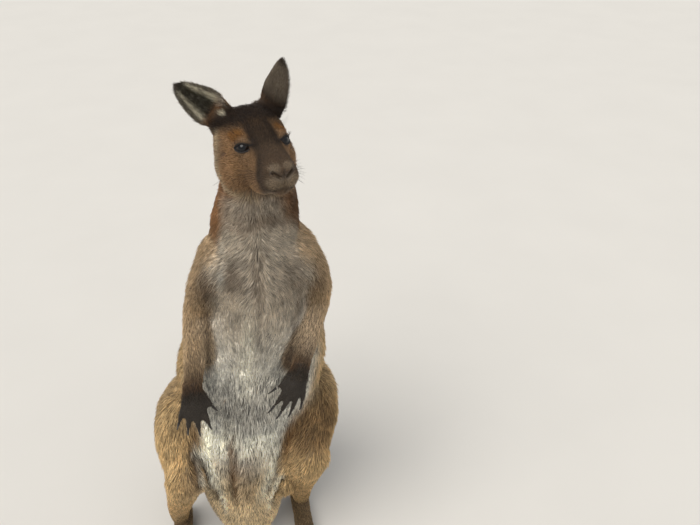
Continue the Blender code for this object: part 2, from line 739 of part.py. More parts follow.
def make_piece(name, bm, parent, collection):
    """The named object: origin at its own middle, its own material."""
    _, middle = volume_and_middle(bm)
    bm.transform(Matrix.Translation(-middle))
    mesh = bpy.data.meshes.new(name)
    bm.to_mesh(mesh)
    bm.free()
    obj = bpy.data.objects.new(name, mesh)
    collection.objects.link(obj)
    obj.location = middle
    obj.parent = parent
    colour, roughness = COLOURS[name.split("_")[0]]
    material = bpy.data.materials.new("Finish_" + name)
    material.use_nodes = True
    shader = material.node_tree.nodes["Principled BSDF"]
    shader.inputs["Base Color"].default_value = (*linear(colour), 1)
    shader.inputs["Roughness"].default_value = roughness
    shader.inputs["Metallic"].default_value = 0.0
    mesh.materials.append(material)
    return obj


def ear_piece_form(tag):
    """The ear as a closed wall, stood on the head."""
    root, points, opens = EARS[tag]
    ear = joined("ear_form", [ear_form()])
    wall = ear.modifiers.new("Wall", "SOLIDIFY")
    wall.thickness = EAR_WALL
    wall.offset = 0.0
    wall.use_even_offset = True
    settle(ear)
    up = points.normalized()
    ahead = (opens - up * opens.dot(up)).normalized()
    side = up.cross(ahead) * -1
    axes = Matrix((side, -ahead, up)).transposed().to_4x4()
    ear.data.transform(Matrix.Translation(head_axes() @ root) @ axes)
    bm = as_bmesh(ear)
    if axes.determinant() < 0:
        bmesh.ops.reverse_faces(bm, faces=bm.faces)
    lean(bm)
    return bm


def eye_form(tag):
    bm = bmesh.new()
    bmesh.ops.create_uvsphere(bm, u_segments=14, v_segments=8, radius=EYE_RADIUS)
    seat = Vector((EYE_SEAT.x * SIDES[tag], EYE_SEAT.y, EYE_SEAT.z))
    bm.transform(Matrix.Translation(head_axes() @ seat) @ Matrix.Rotation(math.radians(90), 4, "Y"))
    lean(bm)
    return bm


def triangle_count(obj):
    return sum(len(f.vertices) - 2 for f in obj.data.polygons)


def is_head(at):
    return at.z > 1.0 or (at.z > 0.975 and at.y < -0.06)


def is_foot(at):
    return at.z < 0.07 and at.y < 0.125 and abs(at.x) > 0.09


def reduced(hide):
    """Takes the hide down to its budget of triangles, more of them on the head, hands and feet."""
    hands = [at for name, at in seeds().items() if name.startswith("hand")]

    def fine(at):
        return is_head(at) or is_foot(at) or min((hand - at).length for hand in hands) < HAND_REACH

    detail = sum(len(f.vertices) - 2 for f in hide.data.polygons if fine(f.center))
    thinned(hide, fine, (BODY_TRIANGLES + detail) / triangle_count(hide))
    now = triangle_count(hide)
    thinned(hide, lambda at: not fine(at), (now - detail + DETAIL_TRIANGLES) / now)


def seat_pieces(made, claws):
    """Lets the eyes and claws into their neighbours, and ends the ears where the head begins."""
    skull = as_cutter(made["head"], "Cut_head", FIT_GAP)
    for tag in SIDES:
        cut_from(made[f"ear_{tag}"], skull)
        cut_from(made["head"], as_cutter(made[f"eye_{tag}"], f"Cut_eye_{tag}", FIT_GAP))
    for name in claws:
        limb = name.split("_", 1)[1].rsplit("_", 1)[0]
        cutter = bpy.data.objects.get("Cut_" + limb) or as_cutter(made[limb], "Cut_" + limb, FIT_GAP)
        cut_from(made[name], cutter)


def main():
    for obj in list(bpy.data.objects):
        bpy.data.objects.remove(obj)
    body = as_bmesh(fused("body_form", body_forms(), HIDE_VOXEL, BODY_EASE))
    ends, claws = hand_and_foot_forms()
    hide = fused("hide", [body, head_form(), *ends], WHOLE_VOXEL, WHOLE_EASE)
    lean(hide.data)
    reduced(hide)

    kangaroo = bpy.data.collections.new("Western_grey_kangaroo")
    bpy.context.scene.collection.children.link(kangaroo)
    whole = bpy.data.objects.new("Kangaroo", None)
    kangaroo.objects.link(whole)

    made = {}
    for name, piece in named_pieces(loose_pieces(part_hide(hide))).items():
        made[name] = make_piece(name, piece, whole, kangaroo)
    for tag in SIDES:
        made[f"eye_{tag}"] = make_piece(f"eye_{tag}", eye_form(tag), whole, kangaroo)
        made[f"ear_{tag}"] = make_piece(f"ear_{tag}", ear_piece_form(tag), whole, kangaroo)
    for name, claw in claws.items():
        lean(claw)
        made[name] = make_piece(name, claw, whole, kangaroo)
    seat_pieces(made, claws)

    bpy.context.view_layer.update()
    corners = [o.matrix_world @ Vector(c) for o in made.values() for c in o.bound_box]
    low = Vector([min(c[i] for c in corners) for i in range(3)])
    high = Vector([max(c[i] for c in corners) for i in range(3)])
    whole.location = (-(low.x + high.x) / 2, -(low.y + high.y) / 2, -low.z)


main()
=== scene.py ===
import json
import math
from contextlib import contextmanager

import bmesh
import bpy
import numpy as np
from mathutils import Matrix, Vector
from mathutils.bvhtree import BVHTree

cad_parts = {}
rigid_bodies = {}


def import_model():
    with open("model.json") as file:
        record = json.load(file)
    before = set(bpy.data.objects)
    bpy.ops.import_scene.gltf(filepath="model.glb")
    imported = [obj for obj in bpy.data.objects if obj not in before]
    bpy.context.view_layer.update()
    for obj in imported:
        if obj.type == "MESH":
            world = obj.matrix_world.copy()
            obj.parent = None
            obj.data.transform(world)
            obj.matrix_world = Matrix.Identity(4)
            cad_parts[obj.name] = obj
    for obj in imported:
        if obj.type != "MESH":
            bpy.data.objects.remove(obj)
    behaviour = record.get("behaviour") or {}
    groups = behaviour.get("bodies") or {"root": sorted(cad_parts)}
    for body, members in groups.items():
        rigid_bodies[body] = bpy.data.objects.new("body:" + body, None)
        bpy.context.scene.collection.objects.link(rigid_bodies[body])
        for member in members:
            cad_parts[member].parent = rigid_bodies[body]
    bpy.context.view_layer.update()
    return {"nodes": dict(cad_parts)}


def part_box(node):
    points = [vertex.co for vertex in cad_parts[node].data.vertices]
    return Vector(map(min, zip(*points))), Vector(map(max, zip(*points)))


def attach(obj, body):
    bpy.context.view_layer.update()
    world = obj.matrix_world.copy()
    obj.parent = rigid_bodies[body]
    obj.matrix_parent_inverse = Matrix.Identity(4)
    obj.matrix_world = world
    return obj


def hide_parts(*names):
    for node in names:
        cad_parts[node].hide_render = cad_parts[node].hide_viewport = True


for startup in list(bpy.data.objects):
    bpy.data.objects.remove(startup)
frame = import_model()

bl_info = {
    "name": "Western grey kangaroo",
    "version": (1, 0, 0),
    "blender": (4, 5, 0),
    "location": "View3D > Sidebar > Kangaroo",
    "description": "Skin, coat, eyes and claws of a grown female standing on hind feet and tail",
    "category": "Add Mesh",
}

# ---- how the animal stands -----------------------------------------------------------------------------
SIDES = {"l": 1, "r": -1}
PAIRED_FLESH = ("thigh", "shank", "foot", "upper_arm", "forearm", "hand", "ear")
FLESH = (
    "head", "neck", "trunk", "tail_base", "tail_tip",
    *(f"{name}_{side}" for name in PAIRED_FLESH for side in SIDES),
)
SWAY, SWAY_FROM, SWAY_TO = 0.096, 0.05, 0.88  # the body leans over between these heights
HEAD_TURN, HEAD_NOD, HEAD_TILT = math.radians(15), math.radians(-11), math.radians(0.5)
HEAD_SEAT = Vector((0.0065, -0.030, 1.038))
EYE_SEAT = Vector((0.0302, -0.0330, 0.0180))  # left eye, in the head's own axes
EYE_RADIUS = 0.0138
MERGE = 1e-5  # corners of a CAD solid this close are one


def sway(height):
    share = np.clip((height - SWAY_FROM) / (SWAY_TO - SWAY_FROM), 0, 1)
    return SWAY * share * share * (3 - 2 * share)


def middle(node):
    low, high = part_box(node)
    return (low + high) / 2


HEAD_ROUND = (
    Matrix.Rotation(HEAD_TURN, 3, "Z") @ Matrix.Rotation(HEAD_NOD, 3, "X")
    @ Matrix.Rotation(HEAD_TILT, 3, "Y")
)
HEAD_MIDDLE = middle("eye_l") - HEAD_ROUND @ EYE_SEAT
FLOOR_SHIFT = HEAD_MIDDLE - HEAD_SEAT - Vector((SWAY, 0, 0))


def placed(x, y, z):
    """A point of the upright body, carried into its lean."""
    return Vector((x + float(sway(z)), y, z)) + FLOOR_SHIFT


def on_head(x, y, z):
    return HEAD_MIDDLE + HEAD_ROUND @ Vector((x, y, z))


def upright(points):
    """Points of the leaning body, back in the upright one, where left and right mirror."""
    back = points - np.array(FLOOR_SHIFT)
    back[:, 0] -= sway(back[:, 2])
    return back


def in_head(points):
    """The same points in the head's own axes: +X to its left, -Y to the nose, +Z to the crown."""
    return (points - np.array(HEAD_MIDDLE)) @ np.array(HEAD_ROUND)


# ---- numbers and meshes --------------------------------------------------------------------------------
def ramp(value, low, high):
    """0 below low, 1 above high, and smooth between."""
    share = np.clip((value - low) / (high - low), 0, 1)
    return share * share * (3 - 2 * share)


def blob(points, centre, radii, soft=0.6):
    """1 inside an ellipsoid, fading to 0 outside it."""
    far = np.linalg.norm((points - np.array(centre)) / np.array(radii), axis=1)
    return 1 - ramp(far, 1 - soft / 2, 1 + soft / 2)


def ridge_of(distance, width):
    """1 where the distance is 0, and 0 a few widths away."""
    return np.exp(-((distance / width) ** 2))


def mixed(base, other, share):
    share = np.asarray(share)[:, None]
    return base * (1 - share) + np.asarray(other) * share


def to_segment(points, a, b):
    """Each point's distance to the segment from a to b, and the share of the way along it."""
    a, b = np.array(a), np.array(b)
    share = np.clip((points - a) @ (b - a) / max(float((b - a) @ (b - a)), 1e-12), 0, 1)
    return np.linalg.norm(points - a - share[:, None] * (b - a), axis=1), share


def to_path(points, path):
    """Each point's distance to the nearest of the path's segments."""
    return np.min([to_segment(points, a, b)[0] for a, b in zip(path, path[1:])], axis=0)


def unit(vectors):
    return vectors / np.maximum(np.linalg.norm(vectors, axis=-1, keepdims=True), 1e-9)


def read(block, name, width):
    found = np.empty(len(block) * width, np.float32)
    block.foreach_get(name, found)
    return found.reshape(-1, width).astype(float) if width > 1 else found.astype(float)


def places(mesh):
    return read(mesh.vertices, "co", 3)


def facings(mesh):
    return read(mesh.vertices, "normal", 3)


def put_places(mesh, co):
    mesh.vertices.foreach_set("co", np.ascontiguousarray(co, np.float32).ravel())
    mesh.update()


def put_layer(mesh, name, kind, values, domain="POINT"):
    layer = mesh.attributes.get(name) or mesh.attributes.new(name, kind, domain)
    field = {"FLOAT": "value", "INT": "value", "FLOAT_VECTOR": "vector", "FLOAT_COLOR": "color"}[kind]
    values = np.ascontiguousarray(values, np.int32 if kind == "INT" else np.float32)
    layer.data.foreach_set(field, values.ravel())


def edges_of(mesh):
    found = np.empty(len(mesh.edges) * 2, np.int32)
    mesh.edges.foreach_get("vertices", found)
    return found.reshape(-1, 2)


def eased(values, edges, rounds, weight=1.0):
    """Values spread over the surface, each towards the mean of its neighbours."""
    a, b = edges.T
    size = len(values)
    count = np.maximum(np.bincount(edges.ravel(), minlength=size), 1)
    columns = [np.array(c) for c in values.T]
    for _ in range(rounds):
        for i, c in enumerate(columns):
            mean = (np.bincount(a, c[b], size) + np.bincount(b, c[a], size)) / count
            columns[i] = c + 0.5 * weight * (mean - c)
    return np.stack(columns, axis=1)


def linked(name, data):
    obj = bpy.data.objects.new(name, data)
    bpy.context.scene.collection.objects.link(obj)
    return obj


@contextmanager
def edited(mesh, result=None):
    """The mesh opened for bmesh's tools, and written back or into the result."""
    bm = bmesh.new()
    bm.from_mesh(mesh)
    yield bm
    bm.to_mesh(result or mesh)
    bm.free()


def settle(obj):
    """Applies what the object's modifiers make of its mesh."""
    graph = bpy.context.evaluated_depsgraph_get()
    made = bpy.data.meshes.new_from_object(obj.evaluated_get(graph))
    obj.modifiers.clear()
    old, obj.data = obj.data, made
    bpy.data.meshes.remove(old)
    return obj


def smooth(mesh):
    mesh.polygons.foreach_set("use_smooth", [True] * len(mesh.polygons))


# ---- the skin ------------------------------------------------------------------------------------------
SWELL = 0.0006  # grows the solids across the cuts between them
FULL_SKIN = {"grid": 0.0022, "rounds": 90, "triangles": 150000}
DRAWN_BACK = 0.86  # how far the finest places are kept from the easing
FINE_LEVELS = 4


def swollen(names, swell):
    """The named CAD solids in one mesh, each a little swollen, so that they meet across their cuts."""
    whole = bmesh.new()
    for name in names:
        part = bmesh.new()
        part.from_mesh(frame["nodes"][name].data)
        bmesh.ops.remove_doubles(part, verts=part.verts, dist=MERGE)
        part.normal_update()
        for v in part.verts:
            v.co += v.normal * swell
        mesh = bpy.data.meshes.new("part")
        part.to_mesh(mesh)
        part.free()
        whole.from_mesh(mesh)
        bpy.data.meshes.remove(mesh)
    mesh = bpy.data.meshes.new("skin")
    whole.to_mesh(mesh)
    whole.free()
    return mesh


def remeshed(obj, size):
    grid = obj.modifiers.new("Join", "REMESH")
    grid.mode = "VOXEL"
    grid.voxel_size = size
    return settle(obj)


def detail_of(points):
    """1 where the form is fine, on head, ears, hands and feet, and 0 on the big masses."""
    up, head = upright(points), in_head(points)
    fine = blob(head, (0, -0.02, 0), (0.085, 0.125, 0.090), 0.3)
    for node in ("ear_l", "ear_r", "hand_l", "hand_r"):
        low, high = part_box(node)
        half = np.array(high - low) / 2 + 0.012
        fine = np.maximum(fine, blob(points, middle(node), half * 1.35, 0.4))
    foot = (1 - ramp(up[:, 2], 0.045, 0.075)) * (1 - ramp(up[:, 1], 0.10, 0.13)) * (abs(up[:, 0]) > 0.09)
    return np.maximum(fine, 0.75 * foot)


def smoothed_skin(mesh, rounds):
    """Takes the flats out of the CAD form without drawing it in: what easing loses is eased and put back."""
    co, edges = places(mesh), edges_of(mesh)
    weight = 1 - DRAWN_BACK * detail_of(co)
    soft = eased(co, edges, rounds, weight)
    put_places(mesh, soft + eased(co - soft, edges, rounds, weight))


def thinned(obj, triangles, keep):
    """Fewer triangles on the big masses and, where keep is 1, nearly all of them."""
    group = obj.vertex_groups.new(name="fine")
    levels = np.round(keep * FINE_LEVELS).astype(int)
    for level in range(1, FINE_LEVELS + 1):
        chosen = np.flatnonzero(levels == level).tolist()
        if chosen:
            group.add(chosen, level / FINE_LEVELS, "REPLACE")
    had = sum(len(p.vertices) - 2 for p in obj.data.polygons)
    less = obj.modifiers.new("Less", "DECIMATE")
    less.ratio = min(1.0, triangles / had)
    less.vertex_group = "fine"
    less.invert_vertex_group = True
    less.vertex_group_factor = 3.0
    less.use_collapse_triangulate = True
    settle(obj)
    obj.vertex_groups.clear()


def split_near(mesh, spots):
    """Halves the edges that lie within reach of any of the spots, for each pass that the spot asks for."""
    with edited(mesh) as bm:
        for turn in range(2):
            near = [(Vector(c), reach) for c, reach, passes in spots if passes > turn]
            if not near:
                continue
            chosen = [
                e for e in bm.edges
                if any((e.verts[0].co - c).length < r and (e.verts[1].co - c).length < r for c, r in near)
            ]
            bmesh.ops.subdivide_edges(bm, edges=chosen, cuts=1, use_grid_fill=True, smooth=0.0)
            bmesh.ops.triangulate(bm, faces=[f for f in bm.faces if len(f.verts) > 3])


def make_skin():
    """One closed skin over all the flesh, eased and thinned."""
    plan = FULL_SKIN
    obj = linked("skin", swollen((*FLESH, "eye_l", "eye_r"), SWELL))
    add_web(obj.data)
    remeshed(obj, plan["grid"])
    with edited(obj.data) as bm:
        islands = sorted(shells(bm), key=len)
        bmesh.ops.delete(bm, geom=[v for island in islands[:-1] for v in island], context="VERTS")
    smoothed_skin(obj.data, plan["rounds"])
    thinned(obj, plan["triangles"], detail_of(places(obj.data)))
    return obj


def add_web(mesh):
    """The loose skin between the left thigh and the trunk, where the leg is drawn in under the lean."""
    shape = Matrix.Translation(placed(*WEB_AT)) @ Matrix.Diagonal((*WEB_SIZE, 1))
    with edited(mesh) as bm:
        bmesh.ops.create_uvsphere(bm, u_segments=24, v_segments=16, radius=1, matrix=shape)


def shells(bm):
    """The mesh's separate shells, as lists of vertices."""
    seen, found = set(), []
    for start in bm.verts:
        if start in seen:
            continue
        seen.add(start)
        shell, edge = [start], [start]
        while edge:
            v = edge.pop()
            for e in v.link_edges:
                other = e.other_vert(v)
                if other not in seen:
                    seen.add(other)
                    shell.append(other)
                    edge.append(other)
        found.append(shell)
    return found


# ---- how the coat lies ---------------------------------------------------------------------------------
# Each line: name, where it starts and ends in the upright body, then the length of the hair, how deep it
# keeps the skin below the coat's tips, and its lift in degrees. Hair near a line lies along it.
BODY_LINES = (
    ("nape", (0, 0.040, 1.020), (0, 0.075, 0.860), 0.017, 0.0050, 15),
    ("throat", (0, -0.055, 1.000), (0, -0.075, 0.900), 0.017, 0.0050, 17),
    ("chest", (0, -0.080, 0.880), (0, -0.100, 0.640), 0.022, 0.0065, 20),
    ("belly", (0, -0.110, 0.620), (0, -0.115, 0.330), 0.025, 0.0070, 20),
    ("groin", (0, -0.110, 0.300), (0, 0.000, 0.080), 0.020, 0.0060, 20),
    ("back", (0, 0.085, 0.860), (0, 0.175, 0.440), 0.021, 0.0060, 15),
    ("rump", (0, 0.185, 0.430), (0, 0.250, 0.190), 0.021, 0.0060, 15),
    ("tail_top", (0.006, 0.250, 0.175), (-0.009, 0.510, 0.080), 0.018, 0.0050, 13),
    ("tail_end", (-0.009, 0.510, 0.060), (-0.035, 0.915, 0.012), 0.015, 0.0035, 12),
    ("tail_under", (0.006, 0.180, 0.060), (-0.009, 0.510, 0.010), 0.012, 0.0030, 12),
)
PAIRED_LINES = (
    ("shoulder", (0.060, -0.020, 0.900), (0.112, 0.004, 0.760), 0.019, 0.0055, 16),
    ("arm", (0.112, 0.004, 0.760), (0.116, 0.016, 0.695), 0.014, 0.0042, 15),
    ("flank", (0.125, 0.030, 0.680), (0.140, 0.060, 0.480), 0.021, 0.0060, 16),
    ("side_neck", (0.055, -0.010, 1.010), (0.080, -0.005, 0.890), 0.017, 0.0050, 15),
    ("hip", (0.130, 0.110, 0.480), (0.150, 0.030, 0.270), 0.019, 0.0050, 13),
    ("thigh_front", (0.165, -0.030, 0.440), (0.100, -0.100, 0.250), 0.019, 0.0048, 14),
    ("thigh_inner", (0.085, -0.100, 0.330), (0.075, -0.020, 0.180), 0.017, 0.0045, 15),
    ("shank", (0.129, -0.085, 0.320), (0.142, 0.020, 0.140), 0.013, 0.0032, 15),
    ("hock", (0.142, 0.020, 0.140), (0.149, 0.060, 0.055), 0.009, 0.0020, 14),
    ("foot", (0.147, 0.060, 0.040), (0.146, -0.120, 0.026), 0.0075, 0.0010, 13),
    ("toes", (0.146, -0.110, 0.022), (0.148, -0.190, 0.018), 0.0055, 0.0006, 14),
)
ARM_LINES = {
    "l": ((0.115, 0.014, 0.700), (0.070, -0.109, 0.626), (0.045, -0.151, 0.558)),
    "r": ((-0.116, 0.014, 0.700), (-0.126, -0.104, 0.607), (-0.117, -0.142, 0.530)),
}
FOREARM_COAT, HAND_COAT = (0.0115, 0.0028, 14), (0.0060, 0.0006, 14)
EAR_ROOT = (0.029, 0.045, 0.048)  # left ear, in the head's own axes
EAR_OPENINGS = {"l": (0.72, 0.60, -0.45), "r": (0.10, -0.98, 0.20)}
EAR_COAT, EAR_CUP_COAT = (0.0062, 0.0003, 12), (0.0075, 0.0003, 22)
LINE_REACH = 0.00012  # square of the distance within which a line holds the coat fully
HEAD_LINES = (  # the same, in the head's own axes
    ("muzzle", (0, -0.125, 0.000), (0, -0.070, 0.024), 0.0042, 0.0007, 13),
    ("forehead", (0, -0.060, 0.034), (0, 0.020, 0.062), 0.0085, 0.0022, 14),
    ("crown", (0, 0.030, 0.064), (0, 0.088, 0.030), 0.0100, 0.0030, 15),
    ("chin", (0, -0.100, -0.052), (0, -0.030, -0.062), 0.0060, 0.0010, 15),
    ("jaw", (0, -0.020, -0.066), (0, 0.050, -0.080), 0.0110, 0.0030, 16),
)
PAIRED_HEAD_LINES = (
    ("lip", (0.022, -0.120, -0.024), (0.033, -0.060, -0.030), 0.0045, 0.0007, 13),
    ("cheek", (0.040, -0.050, -0.010), (0.062, 0.025, -0.015), 0.0095, 0.0025, 14),
    ("gullet", (0.040, -0.020, -0.050), (0.052, 0.050, -0.060), 0.0120, 0.0032, 16),
    ("temple", (0.042, 0.005, 0.036), (0.048, 0.050, 0.030), 0.0085, 0.0020, 15),
)


def coat_lines():
    """Every line of the coat in the leaning body: its ends, hair length, depth and lift."""
    arms = []
    for elbow, wrist, fingers in ARM_LINES.values():
        arms += [("forearm", elbow, wrist, *FOREARM_COAT), ("hand", wrist, fingers, *HAND_COAT)]
    lines = []
    for rows, place, signs in (
        (BODY_LINES, placed, (1,)), (PAIRED_LINES, placed, (1, -1)), (arms, placed, (1,)),
        (HEAD_LINES, on_head, (1,)), (PAIRED_HEAD_LINES, on_head, (1, -1)),
    ):
        for _, start, end, *coat in rows:
            for sign in signs:
                lines.append((*(place(sign * x, y, z) for x, y, z in (start, end)), *coat))
    return lines


def ear_axes(side):
    """The ear's root and tip."""
    corners = places(frame["nodes"]["ear_" + side].data)
    x, y, z = EAR_ROOT
    root = np.array(on_head(SIDES[side] * x, y, z))
    tip = corners[np.argmax(np.linalg.norm(corners - root, axis=1))]
    return root, tip


def along_ear(points, side):
    """How far up the ear each point lies, from 0 at its root to 1 at its tip."""
    root, tip = ear_axes(side)
    return (points - root) @ unit(tip - root) / np.linalg.norm(tip - root)


def ear_share(points, side):
    """How surely each point is on this ear: 1 on its leaf, 0 on the head."""
    low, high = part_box("ear_" + side)
    inside = blob(points, middle("ear_" + side), np.array(high - low) / 2 * 1.55 + 0.006, 0.2)
    return inside * ramp(along_ear(points, side), 0.16, 0.34)


def ear_opening(side):
    """Which way the ear's cup opens."""
    return unit(np.array(EAR_OPENINGS[side]))


def inside_ear(points, normals, side):
    return ear_share(points, side) * ramp(normals @ ear_opening(side), 0.0, 0.35)


def coat_field(points, normals):
    """The lie, length, depth and lift of the coat at each point."""
    lie, total = np.zeros_like(points), np.zeros(len(points))
    made = np.zeros((len(points), 3))
    for a, b, length, depth, lift in coat_lines():
        far, _ = to_segment(points, a, b)
        share = 1 / (far**2 + LINE_REACH) ** 2
        lie += share[:, None] * np.array((b - a).normalized())
        made += share[:, None] * np.array((length, depth, lift))
        total += share
    lie, made = lie / total[:, None], made / total[:, None]
    up = upright(points)
    front = ramp(-normals[:, 1], 0.1, 0.6)
    # The coat fans out from the chest's parting, and gathers again over the belly.
    fan = blob(up, (-0.006, -0.080, 0.855), (0.095, 0.090, 0.080), 0.9) * front
    fan = fan * np.tanh((up[:, 0] + 0.008) / 0.008)
    lie[:, 0] += 1.1 * fan
    gather = blob(up, (-0.018, -0.100, 0.680), (0.100, 0.090, 0.080), 0.9) * front
    lie[:, 0] -= 0.45 * gather * np.tanh((up[:, 0] + 0.020) / 0.030)
    for side in SIDES:
        root, tip = ear_axes(side)
        share = ear_share(points, side)
        lie = mixed(lie, unit(tip - root), share)
        made = mixed(made, EAR_COAT, share)
        made = mixed(made, EAR_CUP_COAT, inside_ear(points, normals, side))
    sole = (1 - ramp(points[:, 2], 0.002, 0.012)) * ramp(-normals[:, 2], 0.3, 0.8)
    made[:, 1] *= 1 - sole
    lie -= normals * np.sum(lie * normals, axis=1)[:, None]
    return unit(lie), made


# ---- features of the face and body ---------------------------------------------------------------------
SNOUT_LINE = (
    (0.0192, -0.0571, 0.0242), (0.0231, -0.0806, 0.0077), (0.0278, -0.0885, -0.0052),
    (0.0283, -0.0800, -0.0265),
)
BROW_LINE = ((0.0150, -0.0200, 0.0450), (0.0189, -0.0292, 0.0412), (0.0205, -0.0571, 0.0242))
JAW_LINE = (
    (0.0543, 0.0252, 0.0382), (0.0590, 0.0178, 0.0240), (0.0624, 0.0161, 0.0053),
    (0.0660, 0.0070, -0.0114), (0.0658, 0.0011, -0.0306), (0.0592, 0.0030, -0.0493),
    (0.0499, 0.0010, -0.0603), (0.0347, -0.0103, -0.0655), (0.0170, -0.0188, -0.0661),
)
EYE_OUT = Vector((0.52, -0.835, 0.15)).normalized()  # the way the left eye looks, in the head's own axes
EYE_UP = (Vector((0, 0, 1)) - EYE_OUT * EYE_OUT.z).normalized()
EYE_FORE = EYE_OUT.cross(EYE_UP)
LID_FORE, LID_REAR, LID_UP, LID_LOW = 1.15, 1.05, 0.43, 0.40  # half sizes of the opening, in radians
NOSTRIL = ((0.0055, -0.1211, -0.0165), (0.0110, -0.1197, -0.0120), (0.0162, -0.1155, -0.0078))
LIPS = (
    (0, -0.1185, -0.0335), (0.0112, -0.1150, -0.0345), (0.0208, -0.1020, -0.0365),
    (0.0285, -0.0830, -0.0385), (0.0345, -0.0640, -0.0375), (0.0350, -0.0540, -0.0345),
)
PHILTRUM = ((0.0006, -0.1210, -0.0090), (0.0006, -0.1225, -0.0200), (0.0004, -0.1185, -0.0335))
POUCH = ((-0.045, -0.097, 0.450), (-0.037, -0.098, 0.406), (-0.032, -0.094, 0.350), (-0.021, -0.089, 0.279))
# Folds of the groin, cut into the skin, with painted shade in them and a painted highlight beside them.
GROIN = (
    ((-0.125, -0.086, 0.427), (-0.115, -0.111, 0.402), (-0.103, -0.123, 0.355)),
    ((-0.113, -0.089, 0.421), (-0.096, -0.106, 0.386), (-0.076, -0.090, 0.314)),
    ((-0.098, -0.098, 0.399), (-0.078, -0.095, 0.339), (-0.053, -0.065, 0.241)),
    ((0.065, -0.084, 0.405), (0.056, -0.091, 0.349), (0.041, -0.085, 0.275)),
    ((0.068, -0.094, 0.360), (0.060, -0.075, 0.300), (0.047, -0.080, 0.245)),
    ((0.083, -0.087, 0.325), (0.076, -0.060, 0.265), (0.062, -0.063, 0.205)),
)
WEB_AT, WEB_SIZE = (0.088, -0.040, 0.262), (0.034, 0.042, 0.056)
# Painted shade: dark lines along the folds between the arms and the trunk, in the upright body.
ARM_FOLDS = (
    ((-0.094, -0.039, 0.800), (-0.099, -0.039, 0.755), (-0.100, -0.047, 0.676), (-0.096, -0.054, 0.621)),
    ((0.066, -0.056, 0.800), (0.062, -0.056, 0.744), (0.062, -0.064, 0.686), (0.058, -0.084, 0.644)),
)


def eye_opening(head, wider=1.0):
    """For points on the left of the head: below 1 inside the lids, and each point's distance to the eye."""
    ray = head - np.array(EYE_SEAT)
    far = np.linalg.norm(ray, axis=1)
    out = ray @ np.array(EYE_OUT)
    across = np.arctan2(ray @ np.array(EYE_FORE), out)
    rise = np.arctan2(ray @ np.array(EYE_UP), np.maximum(out, 1e-6))
    wide = np.where(across > 0, LID_FORE * wider, LID_REAR * (1 + wider) / 2)
    high = np.where(rise > 0, LID_UP, LID_LOW)
    found = (abs(across / wide) ** 2 + abs(rise / high) ** 1.25) ** 0.62
    return np.where(out > 0, found, 9.0), far


def groove(points, path, width):
    """1 along a path and 0 away from it."""
    return ridge_of(to_path(points, path), width)


def fold(points, path, width):
    """The same for a fold seen from the front, however deep it lies."""
    flat = np.array((1, 0, 1))
    return groove(points * flat, np.array(path) * flat, width)


# ---- markings ------------------------------------------------------------------------------------------
def waver(points, size, seed):
    """Soft noise about 0, from a few crossed waves of roughly this size."""
    dice = np.random.default_rng(seed)
    total = np.zeros(len(points))
    for _ in range(7):
        way = unit(dice.normal(size=3)) * (2 * math.pi / size) * dice.uniform(0.6, 1.6)
        total += np.sin(points @ way + dice.uniform(0, 6.3))
    return total / 3.0


# Soft patches: colour, strength, centre in the upright body, radii and softness of the edge.
CHEST_PATCHES = (
    ("chest_dark", 0.75, (-0.049, -0.09, 0.820), (0.026, 0.05, 0.042), 0.9),
    ("chest_dark", 0.45, (0.045, -0.09, 0.815), (0.035, 0.05, 0.050), 0.9),
    ("cream", 0.30, (-0.026, -0.10, 0.665), (0.014, 0.06, 0.095), 0.9),
    ("chest_dark", 0.30, (0.000, -0.10, 0.550), (0.110, 0.09, 0.060), 0.9),
)
ARMPIT_PATCHES = (("belly", 0.50, (-0.069, -0.06, 0.850), (0.012, 0.05, 0.050), 0.9),)
COLLAR_PATCHES = (("chest_dark", 0.55, (0.005, -0.075, 0.918), (0.075, 0.050, 0.013), 0.9),)
CREAM_PATCHES = (
    ("cream", 0.95, (-0.094, -0.10, 0.442), (0.040, 0.09, 0.030), 0.8),
    ("cream", 0.70, (-0.030, -0.10, 0.440), (0.080, 0.09, 0.028), 0.9),
)
# Painted shade over the upper part of the left thigh.
GROIN_SHADE = (("fold_shade", 0.70, (0.130, -0.06, 0.440), (0.070, 0.09, 0.055), 0.9),)
# The same in the head's own axes, on its left side and its middle. The spot is placed from the eye.
BROW_PATCHES = (("ochre", 0.95, (0.0395, -0.0240, 0.0360), (0.014, 0.018, 0.0085), 0.8),)
EYE_PATCHES = (("spot", 0.9, (0.022, 0.026, -0.013), (0.008, 0.0045, 0.0055), 0.8),)
# Pale grey round the nostrils and on the upper lip: partly the nose's own paler colour, partly a painted
# highlight.
NOSE_PATCHES = (
    ("nose_pale_and_highlight", 0.8, (0.014, -0.116, -0.024), (0.014, 0.014, 0.010), 0.9),
    ("nose_pale_and_highlight", 0.7, (0.012, -0.115, -0.002), (0.010, 0.010, 0.006), 0.9),
)
CHIN_PATCHES = (("jaw_pale", 0.7, (0, -0.085, -0.052), (0.022, 0.040, 0.016), 0.8),)
EAR_ROOT_PATCHES = (("crown", 0.95, (0.036, 0.046, 0.060), (0.032, 0.038, 0.036), 0.6),)
EAR_TUFT_PATCHES = (("ear_fringe", 0.70, (-0.0385, 0.0300, 0.0620), (0.005, 0.009, 0.004), 0.8),)
# Half width of the pale bib: heights and widths.
BIB_OUTLINE = (
    (0.10, 0.25, 0.40, 0.60, 0.75, 0.85, 0.93, 1.0),
    (0.07, 0.085, 0.105, 0.115, 0.085, 0.074, 0.040, 0.028),
)
# Rear edge of the dark snout, and of the head against the neck: heights and places along the head.
SNOUT_REAR = ((-0.0390, -0.0265, -0.0052, 0.0077, 0.0242), (-0.0800, -0.0800, -0.0870, -0.0790, -0.0571))
HEAD_REAR = ((-0.066, -0.060, -0.031, -0.011, 0.005, 0.024), (-0.012, 0.003, 0.003, 0.008, 0.016, 0.018))


